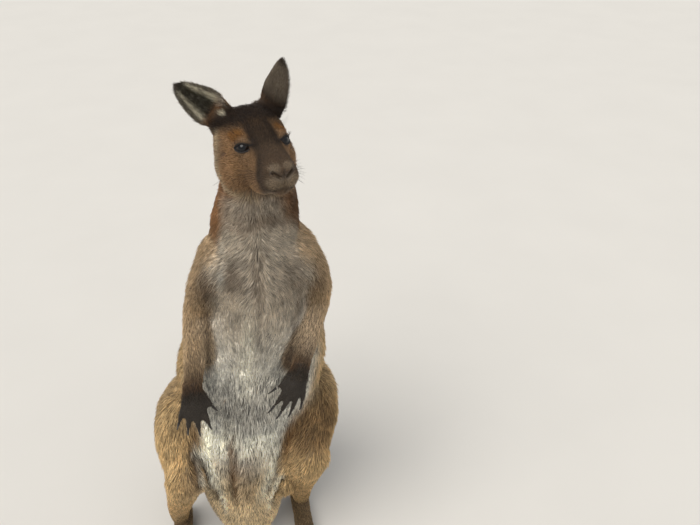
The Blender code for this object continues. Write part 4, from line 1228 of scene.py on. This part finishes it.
def eye_finish(colours):
    """Dark iris, darker pupil and a brown rim, under a wet clear coat."""
    wet = {"Coat_Weight": 0.55, "Coat_Roughness": 0.05, "Specular_IOR_Level": 0.1}
    material, tree, shader = finish("eye_wet", 0.30, **wet)
    bands = tree.nodes.new("ShaderNodeValToRGB")
    tree.links.new(written(tree, "off_gaze"), bands.inputs[0])
    steps = (
        (0.0, PUPIL), (0.26, PUPIL), (0.31, colours.iris[:]), (0.60, tuple(v * 0.6 for v in colours.iris)),
        (0.68, EYE_RING), (0.80, colours.eye_edge[:]),
    )
    while len(bands.color_ramp.elements) < len(steps):
        bands.color_ramp.elements.new(1.0)
    for element, (position, colour) in zip(bands.color_ramp.elements, steps):
        element.position = position
        element.color = (*colour, 1)
    threads = noise(tree, object_place(tree), 900.0, 3.0)
    colour = blend(tree, 0.35, bands.outputs[0], threads, blend_type="MULTIPLY")
    tree.links.new(colour, shader.inputs["Base Color"])
    return material


def claw_finish(colours):
    """Near-black horn, streaked along its length and a little worn at the tip."""
    material, tree, shader = finish("claw_horn", 0.38, Specular_IOR_Level=0.5)
    streaks = noise(tree, object_place(tree), 420.0, 4.0)
    worn = calculator(tree)("MULTIPLY", written(tree, "along"), streaks)
    colour = blend(tree, worn, (*colours.claw, 1), (*colours.claw_worn, 1))
    tree.links.new(colour, shader.inputs["Base Color"])
    spread = add(tree, "ShaderNodeMapRange", {0: streaks, 3: 0.28, 4: 0.60}).outputs[0]
    tree.links.new(spread, shader.inputs["Roughness"])
    relief = add(tree, "ShaderNodeBump", {"Strength": 0.35, "Distance": 0.0004, "Height": streaks})
    tree.links.new(relief.outputs[0], shader.inputs["Normal"])
    return material


def hair_finish(name, colour):
    """Whiskers and lashes: stiff dark hair, paler towards the tip."""
    material, tree, shader = finish(name, 0.45)
    faded = blend(tree, written(tree, "along"), (*colour, 1), (*(v * 2.2 for v in colour), 1))
    tree.links.new(faded, shader.inputs["Base Color"])
    return material


# ---- eyes, claws and stiff hairs -----------------------------------------------------------------------
EYE_RINGS, EYE_AROUND = 40, 48
EYE_GAP = 0.0003  # between the eyeball and its solid
CORNEA_SWELL, CORNEA_REACH = 0.0011, 0.72  # how far the cornea stands out, and its half angle
GAZE_TURN = Vector((0.05, -0.05, -0.04))  # from the middle of the lids to where the left eye looks


def eyeball(side):
    """An eye turned to look out between its lids, with the swell of its cornea."""
    x, y, z = EYE_OUT + GAZE_TURN
    gaze = HEAD_ROUND @ Vector((x * SIDES[side], y, z)).normalized()
    turn = gaze.to_track_quat("Z", "Y").to_matrix()
    centre, off = middle("eye_" + side), []
    mesh = bpy.data.meshes.new("eyeball")
    with edited(mesh) as bm:
        bmesh.ops.create_uvsphere(bm, u_segments=EYE_AROUND, v_segments=EYE_RINGS, radius=1.0)
        for v in bm.verts:
            angle = math.acos(max(-1.0, min(1.0, v.co.normalized().z)))
            swell = CORNEA_SWELL * max(0.0, 1 - (angle / CORNEA_REACH) ** 2) ** 1.5
            off.append(angle / math.pi * 2)
            v.co = centre + turn @ (v.co.normalized() * (EYE_RADIUS - EYE_GAP + swell))
    put_layer(mesh, "off_gaze", "FLOAT", off)
    smooth(mesh)
    return linked("eyeball_" + side, mesh)


def claws_of(name, nodes):
    """The named CAD claws with their facets rounded, as one piece."""
    whole = bmesh.new()
    along = []
    for node in nodes:
        part = bmesh.new()
        part.from_mesh(frame["nodes"][node].data)
        bmesh.ops.remove_doubles(part, verts=part.verts, dist=MERGE)
        bmesh.ops.dissolve_limit(part, angle_limit=math.radians(1), verts=part.verts, edges=part.edges)
        mesh = bpy.data.meshes.new("claw")
        part.to_mesh(mesh)
        part.free()
        obj = linked("claw", mesh)
        ease = obj.modifiers.new("Round", "SUBSURF")
        ease.levels = ease.render_levels = 2
        settle(obj)
        co = places(obj.data)
        reach = co[:, 1] if "foot" in node else co[:, 2]
        along += list(1 - (reach - reach.min()) / max(np.ptp(reach), 1e-6))
        whole.from_mesh(obj.data)
        bpy.data.objects.remove(obj)
    mesh = bpy.data.meshes.new(name)
    bmesh.ops.recalc_face_normals(whole, faces=whole.faces)
    whole.to_mesh(mesh)
    whole.free()
    put_layer(mesh, "along", "FLOAT", along)
    smooth(mesh)
    return linked(name, mesh)


HAIR_STEPS = (0, 0.25, 0.5, 0.75)  # where along a stiff hair its rings stand
HAIR_TAPER = 0.8


def stiff_hairs(name, hairs, thick):
    """Thin bent spines, each from a root along a way, drooping or lifting by its bend."""
    points, faces, along = [], [], []
    for root, way, bend, length in hairs:
        way = Vector(way).normalized()
        across = way.orthogonal().normalized()
        other = way.cross(across)
        start = len(points)
        for t in HAIR_STEPS:
            at = Vector(root) + way * (length * t) + Vector(bend) * (length * t * t)
            for k in range(3):
                turn = 2 * math.pi * k / 3
                out = across * math.cos(turn) + other * math.sin(turn)
                points.append(at + out * thick * (1 - HAIR_TAPER * t))
                along.append(t)
        points.append(Vector(root) + way * length + Vector(bend) * length)
        along.append(1)
        faces.append((start, start + 2, start + 1))
        for i in range(len(HAIR_STEPS) - 1):
            for k in range(3):
                a, b = start + 3 * i + k, start + 3 * i + (k + 1) % 3
                faces.append((a, b, b + 3, a + 3))
        last = start + 3 * (len(HAIR_STEPS) - 1)
        faces += [(last + k, last + (k + 1) % 3, len(points) - 1) for k in range(3)]
    mesh = bpy.data.meshes.new(name)
    mesh.from_pydata(points, [], faces)
    put_layer(mesh, "along", "FLOAT", along)
    smooth(mesh)
    return linked(name, mesh)


WHISKER_ROWS, ROW_WHISKERS, BROW_WHISKERS, CHEEK_WHISKERS = 4, 5, 4, 3
WHISKER_ROOT = 0.001  # how deep a whisker starts in the skin
BROW_LENGTH = 0.024
LASHES, LASH_LENGTH = 26, 0.0085


def whisker_plan():
    """The left side's whiskers in the head's own axes: rows on the lip, then brow and cheek."""
    hairs = []
    for row in range(WHISKER_ROWS):
        for k in range(ROW_WHISKERS):
            spot = (0.030, -0.108 + 0.011 * k + 0.003 * row, -0.012 - 0.0065 * row)
            way = (0.86, 0.10 + 0.16 * k, 0.12 - 0.20 * row)
            hairs.append((spot, way, (0.05, 0.26, -0.24), 0.020 + 0.0055 * k))
    for k in range(BROW_WHISKERS):
        spot = (0.040, -0.030 + 0.006 * k, 0.042)
        hairs.append((spot, (0.50, -0.25, 0.62), (0.10, 0.42, -0.1), BROW_LENGTH))
    for k in range(CHEEK_WHISKERS):
        spot = (0.050, -0.010 + 0.008 * k, -0.030)
        hairs.append((spot, (0.85, -0.1, -0.35), (0, 0.35, -0.2), BROW_LENGTH))
    return hairs


def whiskers_on(tree):
    """Whiskers on both sides of the head, each from the nearest place on the skin."""
    dice = np.random.default_rng(5)
    made = []
    for sign in (1, -1):
        for spot, way, bend, length in whisker_plan():
            spot, way, bend = (Vector((sign * x, y, z)) for x, y, z in (spot, way, bend))
            way = HEAD_ROUND @ (way + Vector(dice.normal(0, 0.07, 3)))
            root = tree.find_nearest(on_head(*spot))[0] - way.normalized() * WHISKER_ROOT
            made.append((root, way, HEAD_ROUND @ bend, length * dice.uniform(0.8, 1.2)))
    return made


def lashes_on_lids():
    """Lashes along each upper lid."""
    dice = np.random.default_rng(8)
    made = []
    for sign in (1, -1):
        for k in range(LASHES):
            across = -0.70 + 1.5 * k / (LASHES - 1)
            wide = LID_FORE if across > 0 else LID_REAR
            rise = LID_UP * max(0.0, 1 - abs(across / wide) ** 2) ** 0.8 * 1.06
            level = EYE_OUT * math.cos(rise) * math.cos(across) + EYE_FORE * math.cos(rise) * math.sin(across)
            ray = level + EYE_UP * math.sin(rise)
            spot = EYE_SEAT + ray * (EYE_RADIUS + 0.0016)
            way = ray + EYE_UP * 0.25 + EYE_FORE * 0.3 * across
            bend = EYE_UP * 0.35 - EYE_OUT * 0.2
            spot, way, bend = (Vector((sign * v.x, v.y, v.z)) for v in (spot, way, bend))
            way = HEAD_ROUND @ (way + Vector(dice.normal(0, 0.06, 3)))
            made.append((on_head(*spot), way, HEAD_ROUND @ bend, LASH_LENGTH * dice.uniform(0.8, 1.15)))
    return made


# ---- what a user may change ----------------------------------------------------------------------------
def linear(red, green, blue):
    """A screen colour of 0 to 255 as a linear one."""
    shares = (v / 255 for v in (red, green, blue))
    return tuple(((v + 0.055) / 1.055) ** 2.4 if v > 0.04 else v / 12.92 for v in shares)


def colour_of(name, what, *screen):
    return bpy.props.FloatVectorProperty(
        name=name, description=what, default=linear(*screen), subtype="COLOR", size=3, min=0, max=1
    )


def length_of(name, what, default):
    return bpy.props.FloatProperty(
        name=name, description=what, default=default, min=0, unit="LENGTH", precision=4
    )


class KangarooColours(bpy.types.PropertyGroup):
    back: colour_of("Back", "Back, rump and upper tail", 114, 97, 78)
    flank: colour_of("Flank", "Sides of the body", 135, 114, 89)
    chest: colour_of("Chest", "Grizzled grey of the chest and throat", 166, 156, 141)
    chest_dark: colour_of("Chest shade", "Darker grey-brown patches on the chest", 93, 76, 60)
    belly: colour_of("Belly", "Pale grey belly", 195, 193, 184)
    # Also laid as a painted highlight on the swell beside each groin fold.
    cream: colour_of("Cream", "Pale patch over the pouch", 240, 238, 222)
    # Painted shade, drawn along the folds between arms and trunk and along the groin's folds.
    crease_shade: colour_of("Crease", "Dark lines of the groin's folds", 70, 53, 36)
    groin: colour_of("Groin", "Tan grey below the pouch and between the thighs", 202, 181, 143)
    # Painted shade: the brown in and beside the pouch's fold, in the fold between thigh and belly, and over
    # the upper left thigh.
    fold_shade: colour_of("Pouch", "Brown fold of the pouch", 103, 73, 41)
    neck_side: colour_of("Neck side", "Warm brown of the neck's sides", 128, 90, 55)
    # Painted shade: darker brown laid only on the neck's left side.
    neck_shade_side: colour_of("Neck shade", "Darker brown of the neck's left side", 63, 42, 22)
    thigh: colour_of("Thigh", "Golden tan of the thighs", 187, 160, 116)
    shank: colour_of("Shank", "Grey-brown of the shanks", 178, 149, 105)
    shank_dark: colour_of("Foot", "Upper side of the feet", 83, 69, 53)
    paw: colour_of("Paw", "Black of hands and toes", 52, 44, 35)
    arm: colour_of("Arm", "Upper arm and elbow", 169, 146, 115)
    arm_dark: colour_of("Forearm", "Lower forearm", 78, 58, 40)
    tail_end: colour_of("Tail end", "Dark end of the tail", 39, 33, 28)
    crown: colour_of("Crown", "Dark crown, brow and ear roots", 36, 23, 10)
    muzzle: colour_of("Muzzle", "Grey-brown of the nose's bridge", 82, 64, 46)
    muzzle_dark: colour_of("Muzzle edge", "Dark line from the eye to the lip", 41, 30, 20)
    cheek: colour_of("Cheek", "Rufous brown of the cheeks", 139, 108, 75)
    jaw_pale: colour_of("Jaw edge", "Paler grey behind the cheek and under the jaw", 136, 117, 94)
    jaw_edge: colour_of("Jaw line", "Pale line along the rear edge of the jaw", 175, 158, 129)
    ochre: colour_of("Ochre", "Ochre patch over the eye", 121, 81, 34)
    spot: colour_of("Spot", "Small dark spot behind the eye", 73, 50, 39)
    # The lids' own dark skin, widened round the eye as painted shade under the brow.
    rim: colour_of("Eyelid", "Dark bare rim of the eyelids", 30, 25, 24)
    # Partly the nose's own paler grey, partly a painted highlight.
    nose_pale_and_highlight: colour_of("Nose edge", "Paler grey around the nostrils and on the upper lip", 133, 116, 94)
    # Painted shade in the nostrils, along the mouth's line and down the philtrum.
    nose_groove_shade: colour_of("Nostril", "Inside of the nostrils and lips", 26, 21, 20)
    ear_back: colour_of("Ear back", "Back of the ears", 88, 78, 65)
    ear_inner: colour_of("Ear inside", "Skin and fur inside the ears", 36, 31, 16)
    ear_fringe: colour_of("Ear fringe", "Pale hairs at the ear's rim and root", 205, 196, 170)
    iris: colour_of("Iris", "Dark brown iris", 30, 20, 13)
    eye_edge: colour_of("Eye edge", "Brown edge of the eyeball", 70, 52, 42)
    claw: colour_of("Claw", "Horn of the claws", 30, 27, 25)
    claw_worn: colour_of("Worn claw", "Worn horn at the claws' tips", 45, 40, 33)
    whisker: colour_of("Whisker", "Whiskers and lashes", 24, 20, 18)
    floor: colour_of("Floor", "Studio floor", 226, 222, 214)


class KangarooSizes(bpy.types.PropertyGroup):
    hair_scale: bpy.props.FloatProperty(
        name="Hair length", description="Share of the coat's natural length", default=1.0, min=0.2, max=2.0
    )
    tuft_width: length_of("Tuft width", "Half width of a tuft on the body", 0.00085)
    clump_size: length_of("Clump size", "How far apart the hair parts into locks", 0.020)
    lock_size: length_of("Lock size", "Width of the light and dark locks", 0.0045)
    whisker: length_of("Whisker thickness", "Radius of a whisker at its root", 0.00022)
    lash: length_of("Lash thickness", "Radius of a lash at its root", 0.00028)
    floor_size: length_of("Floor size", "Side of the studio floor", 240.0)


# ---- the pieces ----------------------------------------------------------------------------------------
COATS = {  # tufts, their width, spread, clumping, contrast and frost, and their slot
    "coat_head": (28000, 0.55, 0.16, 0.10, 0.35, 0.10, "head_fur"),
    "coat_ears": (7000, 0.55, 0.18, 0.06, 0.35, 0.15, "ear_fur"),
    "coat_ear_insides": (6000, 0.42, 0.45, 0.20, 1.0, 1.0, "ear_fur"),
    "coat_neck": (22000, 0.75, 0.20, 0.22, 0.8, 0.25, "body_fur"),
    "coat_chest": (26000, 0.75, 0.22, 0.30, 1.0, 0.45, "body_fur"),
    "coat_belly": (30000, 0.80, 0.22, 0.32, 1.0, 0.40, "body_fur"),
    "coat_back": (27000, 1.05, 0.18, 0.18, 1.0, 0.15, "body_fur"),
    "coat_tail": (16000, 0.95, 0.16, 0.12, 1.0, 0.15, "body_fur"),
    "coat_leg_l": (29000, 0.72, 0.16, 0.18, 1.0, 0.15, "limb_fur"),
    "coat_leg_r": (29000, 0.72, 0.16, 0.18, 1.0, 0.15, "limb_fur"),
    "coat_arms": (21000, 0.62, 0.18, 0.14, 0.65, 0.15, "limb_fur"),
}
FIRST_SEED = 20
SKIN_LOOK = {"Root shade": 0.85, "Tip shade": 0.85, "Patch contrast": 0.35, "Hair size": 0.0011}
COAT_LOOK = {"Root shade": 0.70, "Tip shade": 2.30, "Patch contrast": 0.80}
TUFT_CONTRAST = 1.25
CAMERA_SPOT = (0.045, -1.072, 1.5)
CAMERA_NOD, CAMERA_TURN = math.radians(90 - 33.3), math.radians(-11.5)
LENS, SENSOR = 35.331429, 36.0  # focal length and sensor width in mm
LIGHTS = (  # name, where it stands, strength, spread in degrees, colour
    ("key", (-0.50, -0.50, 0.95), 2.10, 45, (1.0, 0.97, 0.93)),
    ("fill", (0.80, -0.55, 0.50), 0.30, 110, (0.97, 0.98, 1.0)),
)
SKY, SKY_STRENGTH = (0.90, 0.92, 0.95, 1), 0.55


def coat_regions(mesh):
    """Which coat piece each face of the skin belongs to."""
    centres, out = read(mesh.polygons, "center", 3), read(mesh.polygons, "normal", 3)
    up, head = upright(centres), in_head(centres)
    x, y, z = up.T
    ahead = np.where(z > 0.62, "coat_chest", "coat_belly")
    names = np.where(out[:, 1] < 0.15, ahead, "coat_back").astype("U16")
    names[z > 0.86] = "coat_neck"
    names[(y > 0.17) & (z < 0.25)] = "coat_tail"
    leg = ((abs(x) > 0.104) & (z < 0.50)) | ((abs(x) > 0.084) & (z < 0.27) & (y < 0.13))
    names[leg & (x > 0)] = "coat_leg_l"
    names[leg & (x < 0)] = "coat_leg_r"
    for elbow, wrist, fingers in ARM_LINES.values():
        upper, _ = to_segment(up, (math.copysign(0.080, elbow[0]), -0.006, 0.812), elbow)
        names[(upper < 0.046) & (abs(x) > 0.075)] = "coat_arms"
        names[to_path(up, (elbow, wrist, fingers)) < 0.044] = "coat_arms"
    on = blob(head, (0, -0.015, 0), (0.090, 0.135, 0.090), 0.2) > 0.5
    names[on & (head[:, 2] + 0.25 * head[:, 1] > -0.072)] = "coat_head"
    for side in SIDES:
        names[ear_share(centres, side) > 0.5] = "coat_ears"
        names[inside_ear(centres, out, side) > 0.4] = "coat_ear_insides"
    return names


class KANGAROO_OT_stage(bpy.types.Operator):
    """Pale floor, soft lights and the camera"""

    bl_idname = "kangaroo.stage"
    bl_label = "Stage"

    def execute(self, context):
        scene = context.scene
        half = scene.kangaroo_sizes.floor_size / 2
        mesh = bpy.data.meshes.new("floor")
        corners = [(-half, -half, 0), (half, -half, 0), (half, half, 0), (-half, half, 0)]
        mesh.from_pydata(corners, [], [(0, 1, 2, 3)])
        floor = linked("floor", mesh)
        material, tree, shader = finish("studio_floor", 0.85)
        tint = scene.kangaroo_colours.floor
        cloud = noise(tree, object_place(tree), 3.0, 3.0)
        colour = blend(tree, cloud, (*tint, 1), (*(v * 0.94 for v in tint), 1))
        tree.links.new(colour, shader.inputs["Base Color"])
        mesh.materials.append(material)
        world = bpy.data.worlds.new("studio")
        world.use_nodes = True
        sky = world.node_tree.nodes["Background"]
        sky.inputs["Color"].default_value = SKY
        sky.inputs["Strength"].default_value = SKY_STRENGTH
        scene.world = world
        for name, spot, strength, spread, tint in LIGHTS:
            lamp = bpy.data.lights.new(name, "SUN")
            lamp.angle = math.radians(spread)
            lamp.energy = strength
            lamp.color = tint
            linked(name, lamp).rotation_euler = (-Vector(spot)).to_track_quat("-Z", "Y").to_euler()
        eye = bpy.data.cameras.new("camera")
        eye.sensor_width = SENSOR
        eye.lens = LENS
        eye.clip_start = 0.05
        eye.clip_end = 100
        camera = linked("camera", eye)
        camera.location = Vector(CAMERA_SPOT) + FLOOR_SHIFT
        camera.rotation_euler = (CAMERA_NOD, 0, CAMERA_TURN)
        scene.camera = camera
        scene.view_settings.view_transform = "Standard"
        return {"FINISHED"}


class KANGAROO_OT_skin(bpy.types.Operator):
    """One skin from nose to tail, with lids, nostrils, lips and folds"""

    bl_idname = "kangaroo.skin"
    bl_label = "Skin"

    def execute(self, context):
        colours = context.scene.kangaroo_colours
        skin = dressed(make_skin(), colours)
        skin.data.materials.clear()
        skin.data.materials.append(coat_finish("furred_skin", grizzle_group(), 0.0012, SKIN_LOOK, 0.72))
        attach(skin, "root")
        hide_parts(*FLESH)
        return {"FINISHED"}


class KANGAROO_OT_coat(bpy.types.Operator):
    """Tufts of fur that lie along the body, region by region"""

    bl_idname = "kangaroo.coat"
    bl_label = "Coat"

    def execute(self, context):
        sizes, skin = context.scene.kangaroo_sizes, bpy.data.objects["skin"]
        tuft, tree, shared = spindle(), coat_tree(), bpy.data.node_groups["Grizzled coat"]
        regions = coat_regions(skin.data)
        every = 1
        for seed, (name, row) in enumerate(COATS.items(), FIRST_SEED):
            tufts, width, spread, clumping, contrast, frost, slot = row
            look = {**COAT_LOOK, "Tuft contrast": TUFT_CONTRAST * contrast, "Frost": frost}
            values = {
                "Tuft": tuft, "Seed": seed, "Length": sizes.hair_scale, "Width": sizes.tuft_width * width,
                "Spread": spread, "Clumping": clumping, "Clump size": sizes.clump_size,
                "Lock size": sizes.lock_size,
                "Finish": coat_finish(name, shared, 0, look, 0.62, Specular_IOR_Level=0.35),
            }
            coat = grown(name, skin, regions == name, tufts // every, tree, values)
            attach(coat, "root")
        bpy.data.objects.remove(tuft)
        return {"FINISHED"}


class KANGAROO_OT_eyes(bpy.types.Operator):
    """Eyeballs and lashes"""

    bl_idname = "kangaroo.eyes"
    bl_label = "Eyes"

    def execute(self, context):
        colours, sizes = context.scene.kangaroo_colours, context.scene.kangaroo_sizes
        wet = eye_finish(colours)
        for side in SIDES:
            ball = eyeball(side)
            ball.data.materials.append(wet)
            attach(ball, "root")
            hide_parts("eye_" + side)
        lashes = stiff_hairs("lashes", lashes_on_lids(), sizes.lash)
        lashes.data.materials.append(hair_finish("lash_hair", colours.whisker))
        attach(lashes, "root")
        return {"FINISHED"}


class KANGAROO_OT_whiskers(bpy.types.Operator):
    """Whiskers on the lips, brows and cheeks"""

    bl_idname = "kangaroo.whiskers"
    bl_label = "Whiskers"

    def execute(self, context):
        colours, sizes = context.scene.kangaroo_colours, context.scene.kangaroo_sizes
        skin = bpy.data.objects["skin"].data
        corners, faces = [v.co[:] for v in skin.vertices], [p.vertices[:] for p in skin.polygons]
        tree = BVHTree.FromPolygons(corners, faces)
        piece = stiff_hairs("whiskers", whiskers_on(tree), sizes.whisker)
        piece.data.materials.append(hair_finish("whisker_hair", colours.whisker))
        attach(piece, "root")
        return {"FINISHED"}


class KANGAROO_OT_claws(bpy.types.Operator):
    """Claws of hands and feet"""

    bl_idname = "kangaroo.claws"
    bl_label = "Claws"

    def execute(self, context):
        horn = claw_finish(context.scene.kangaroo_colours)
        for limb, digits in (("hand", "12345"), ("foot", "2345")):
            for side in SIDES:
                nodes = [f"claw_{limb}_{side}_{digit}" for digit in digits]
                piece = claws_of(f"claws_{limb}_{side}", nodes)
                piece.data.materials.append(horn)
                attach(piece, "root")
                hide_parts(*nodes)
        return {"FINISHED"}


STEPS = (
    KANGAROO_OT_stage, KANGAROO_OT_skin, KANGAROO_OT_coat, KANGAROO_OT_eyes, KANGAROO_OT_whiskers,
    KANGAROO_OT_claws,
)


class KANGAROO_PT_panel(bpy.types.Panel):
    """Every piece of the kangaroo, with its sizes and colours"""

    bl_idname = "KANGAROO_PT_panel"
    bl_label = "Kangaroo"
    bl_space_type = "VIEW_3D"
    bl_region_type = "UI"
    bl_category = "Kangaroo"

    def draw(self, context):
        for step in STEPS:
            self.layout.operator(step.bl_idname)
        for values in (context.scene.kangaroo_sizes, context.scene.kangaroo_colours):
            box = self.layout.box()
            for name in type(values).__annotations__:
                box.prop(values, name)


CLASSES = (KangarooColours, KangarooSizes, *STEPS, KANGAROO_PT_panel)


def register():
    for kind in CLASSES:
        bpy.utils.register_class(kind)
    bpy.types.Scene.kangaroo_colours = bpy.props.PointerProperty(type=KangarooColours)
    bpy.types.Scene.kangaroo_sizes = bpy.props.PointerProperty(type=KangarooSizes)


def unregister():
    del bpy.types.Scene.kangaroo_sizes
    del bpy.types.Scene.kangaroo_colours
    for kind in reversed(CLASSES):
        bpy.utils.unregister_class(kind)


def main():
    register()
    for step in STEPS:
        area, name = step.bl_idname.split(".")
        getattr(getattr(bpy.ops, area), name)()


if __name__ == "__main__":
    main()
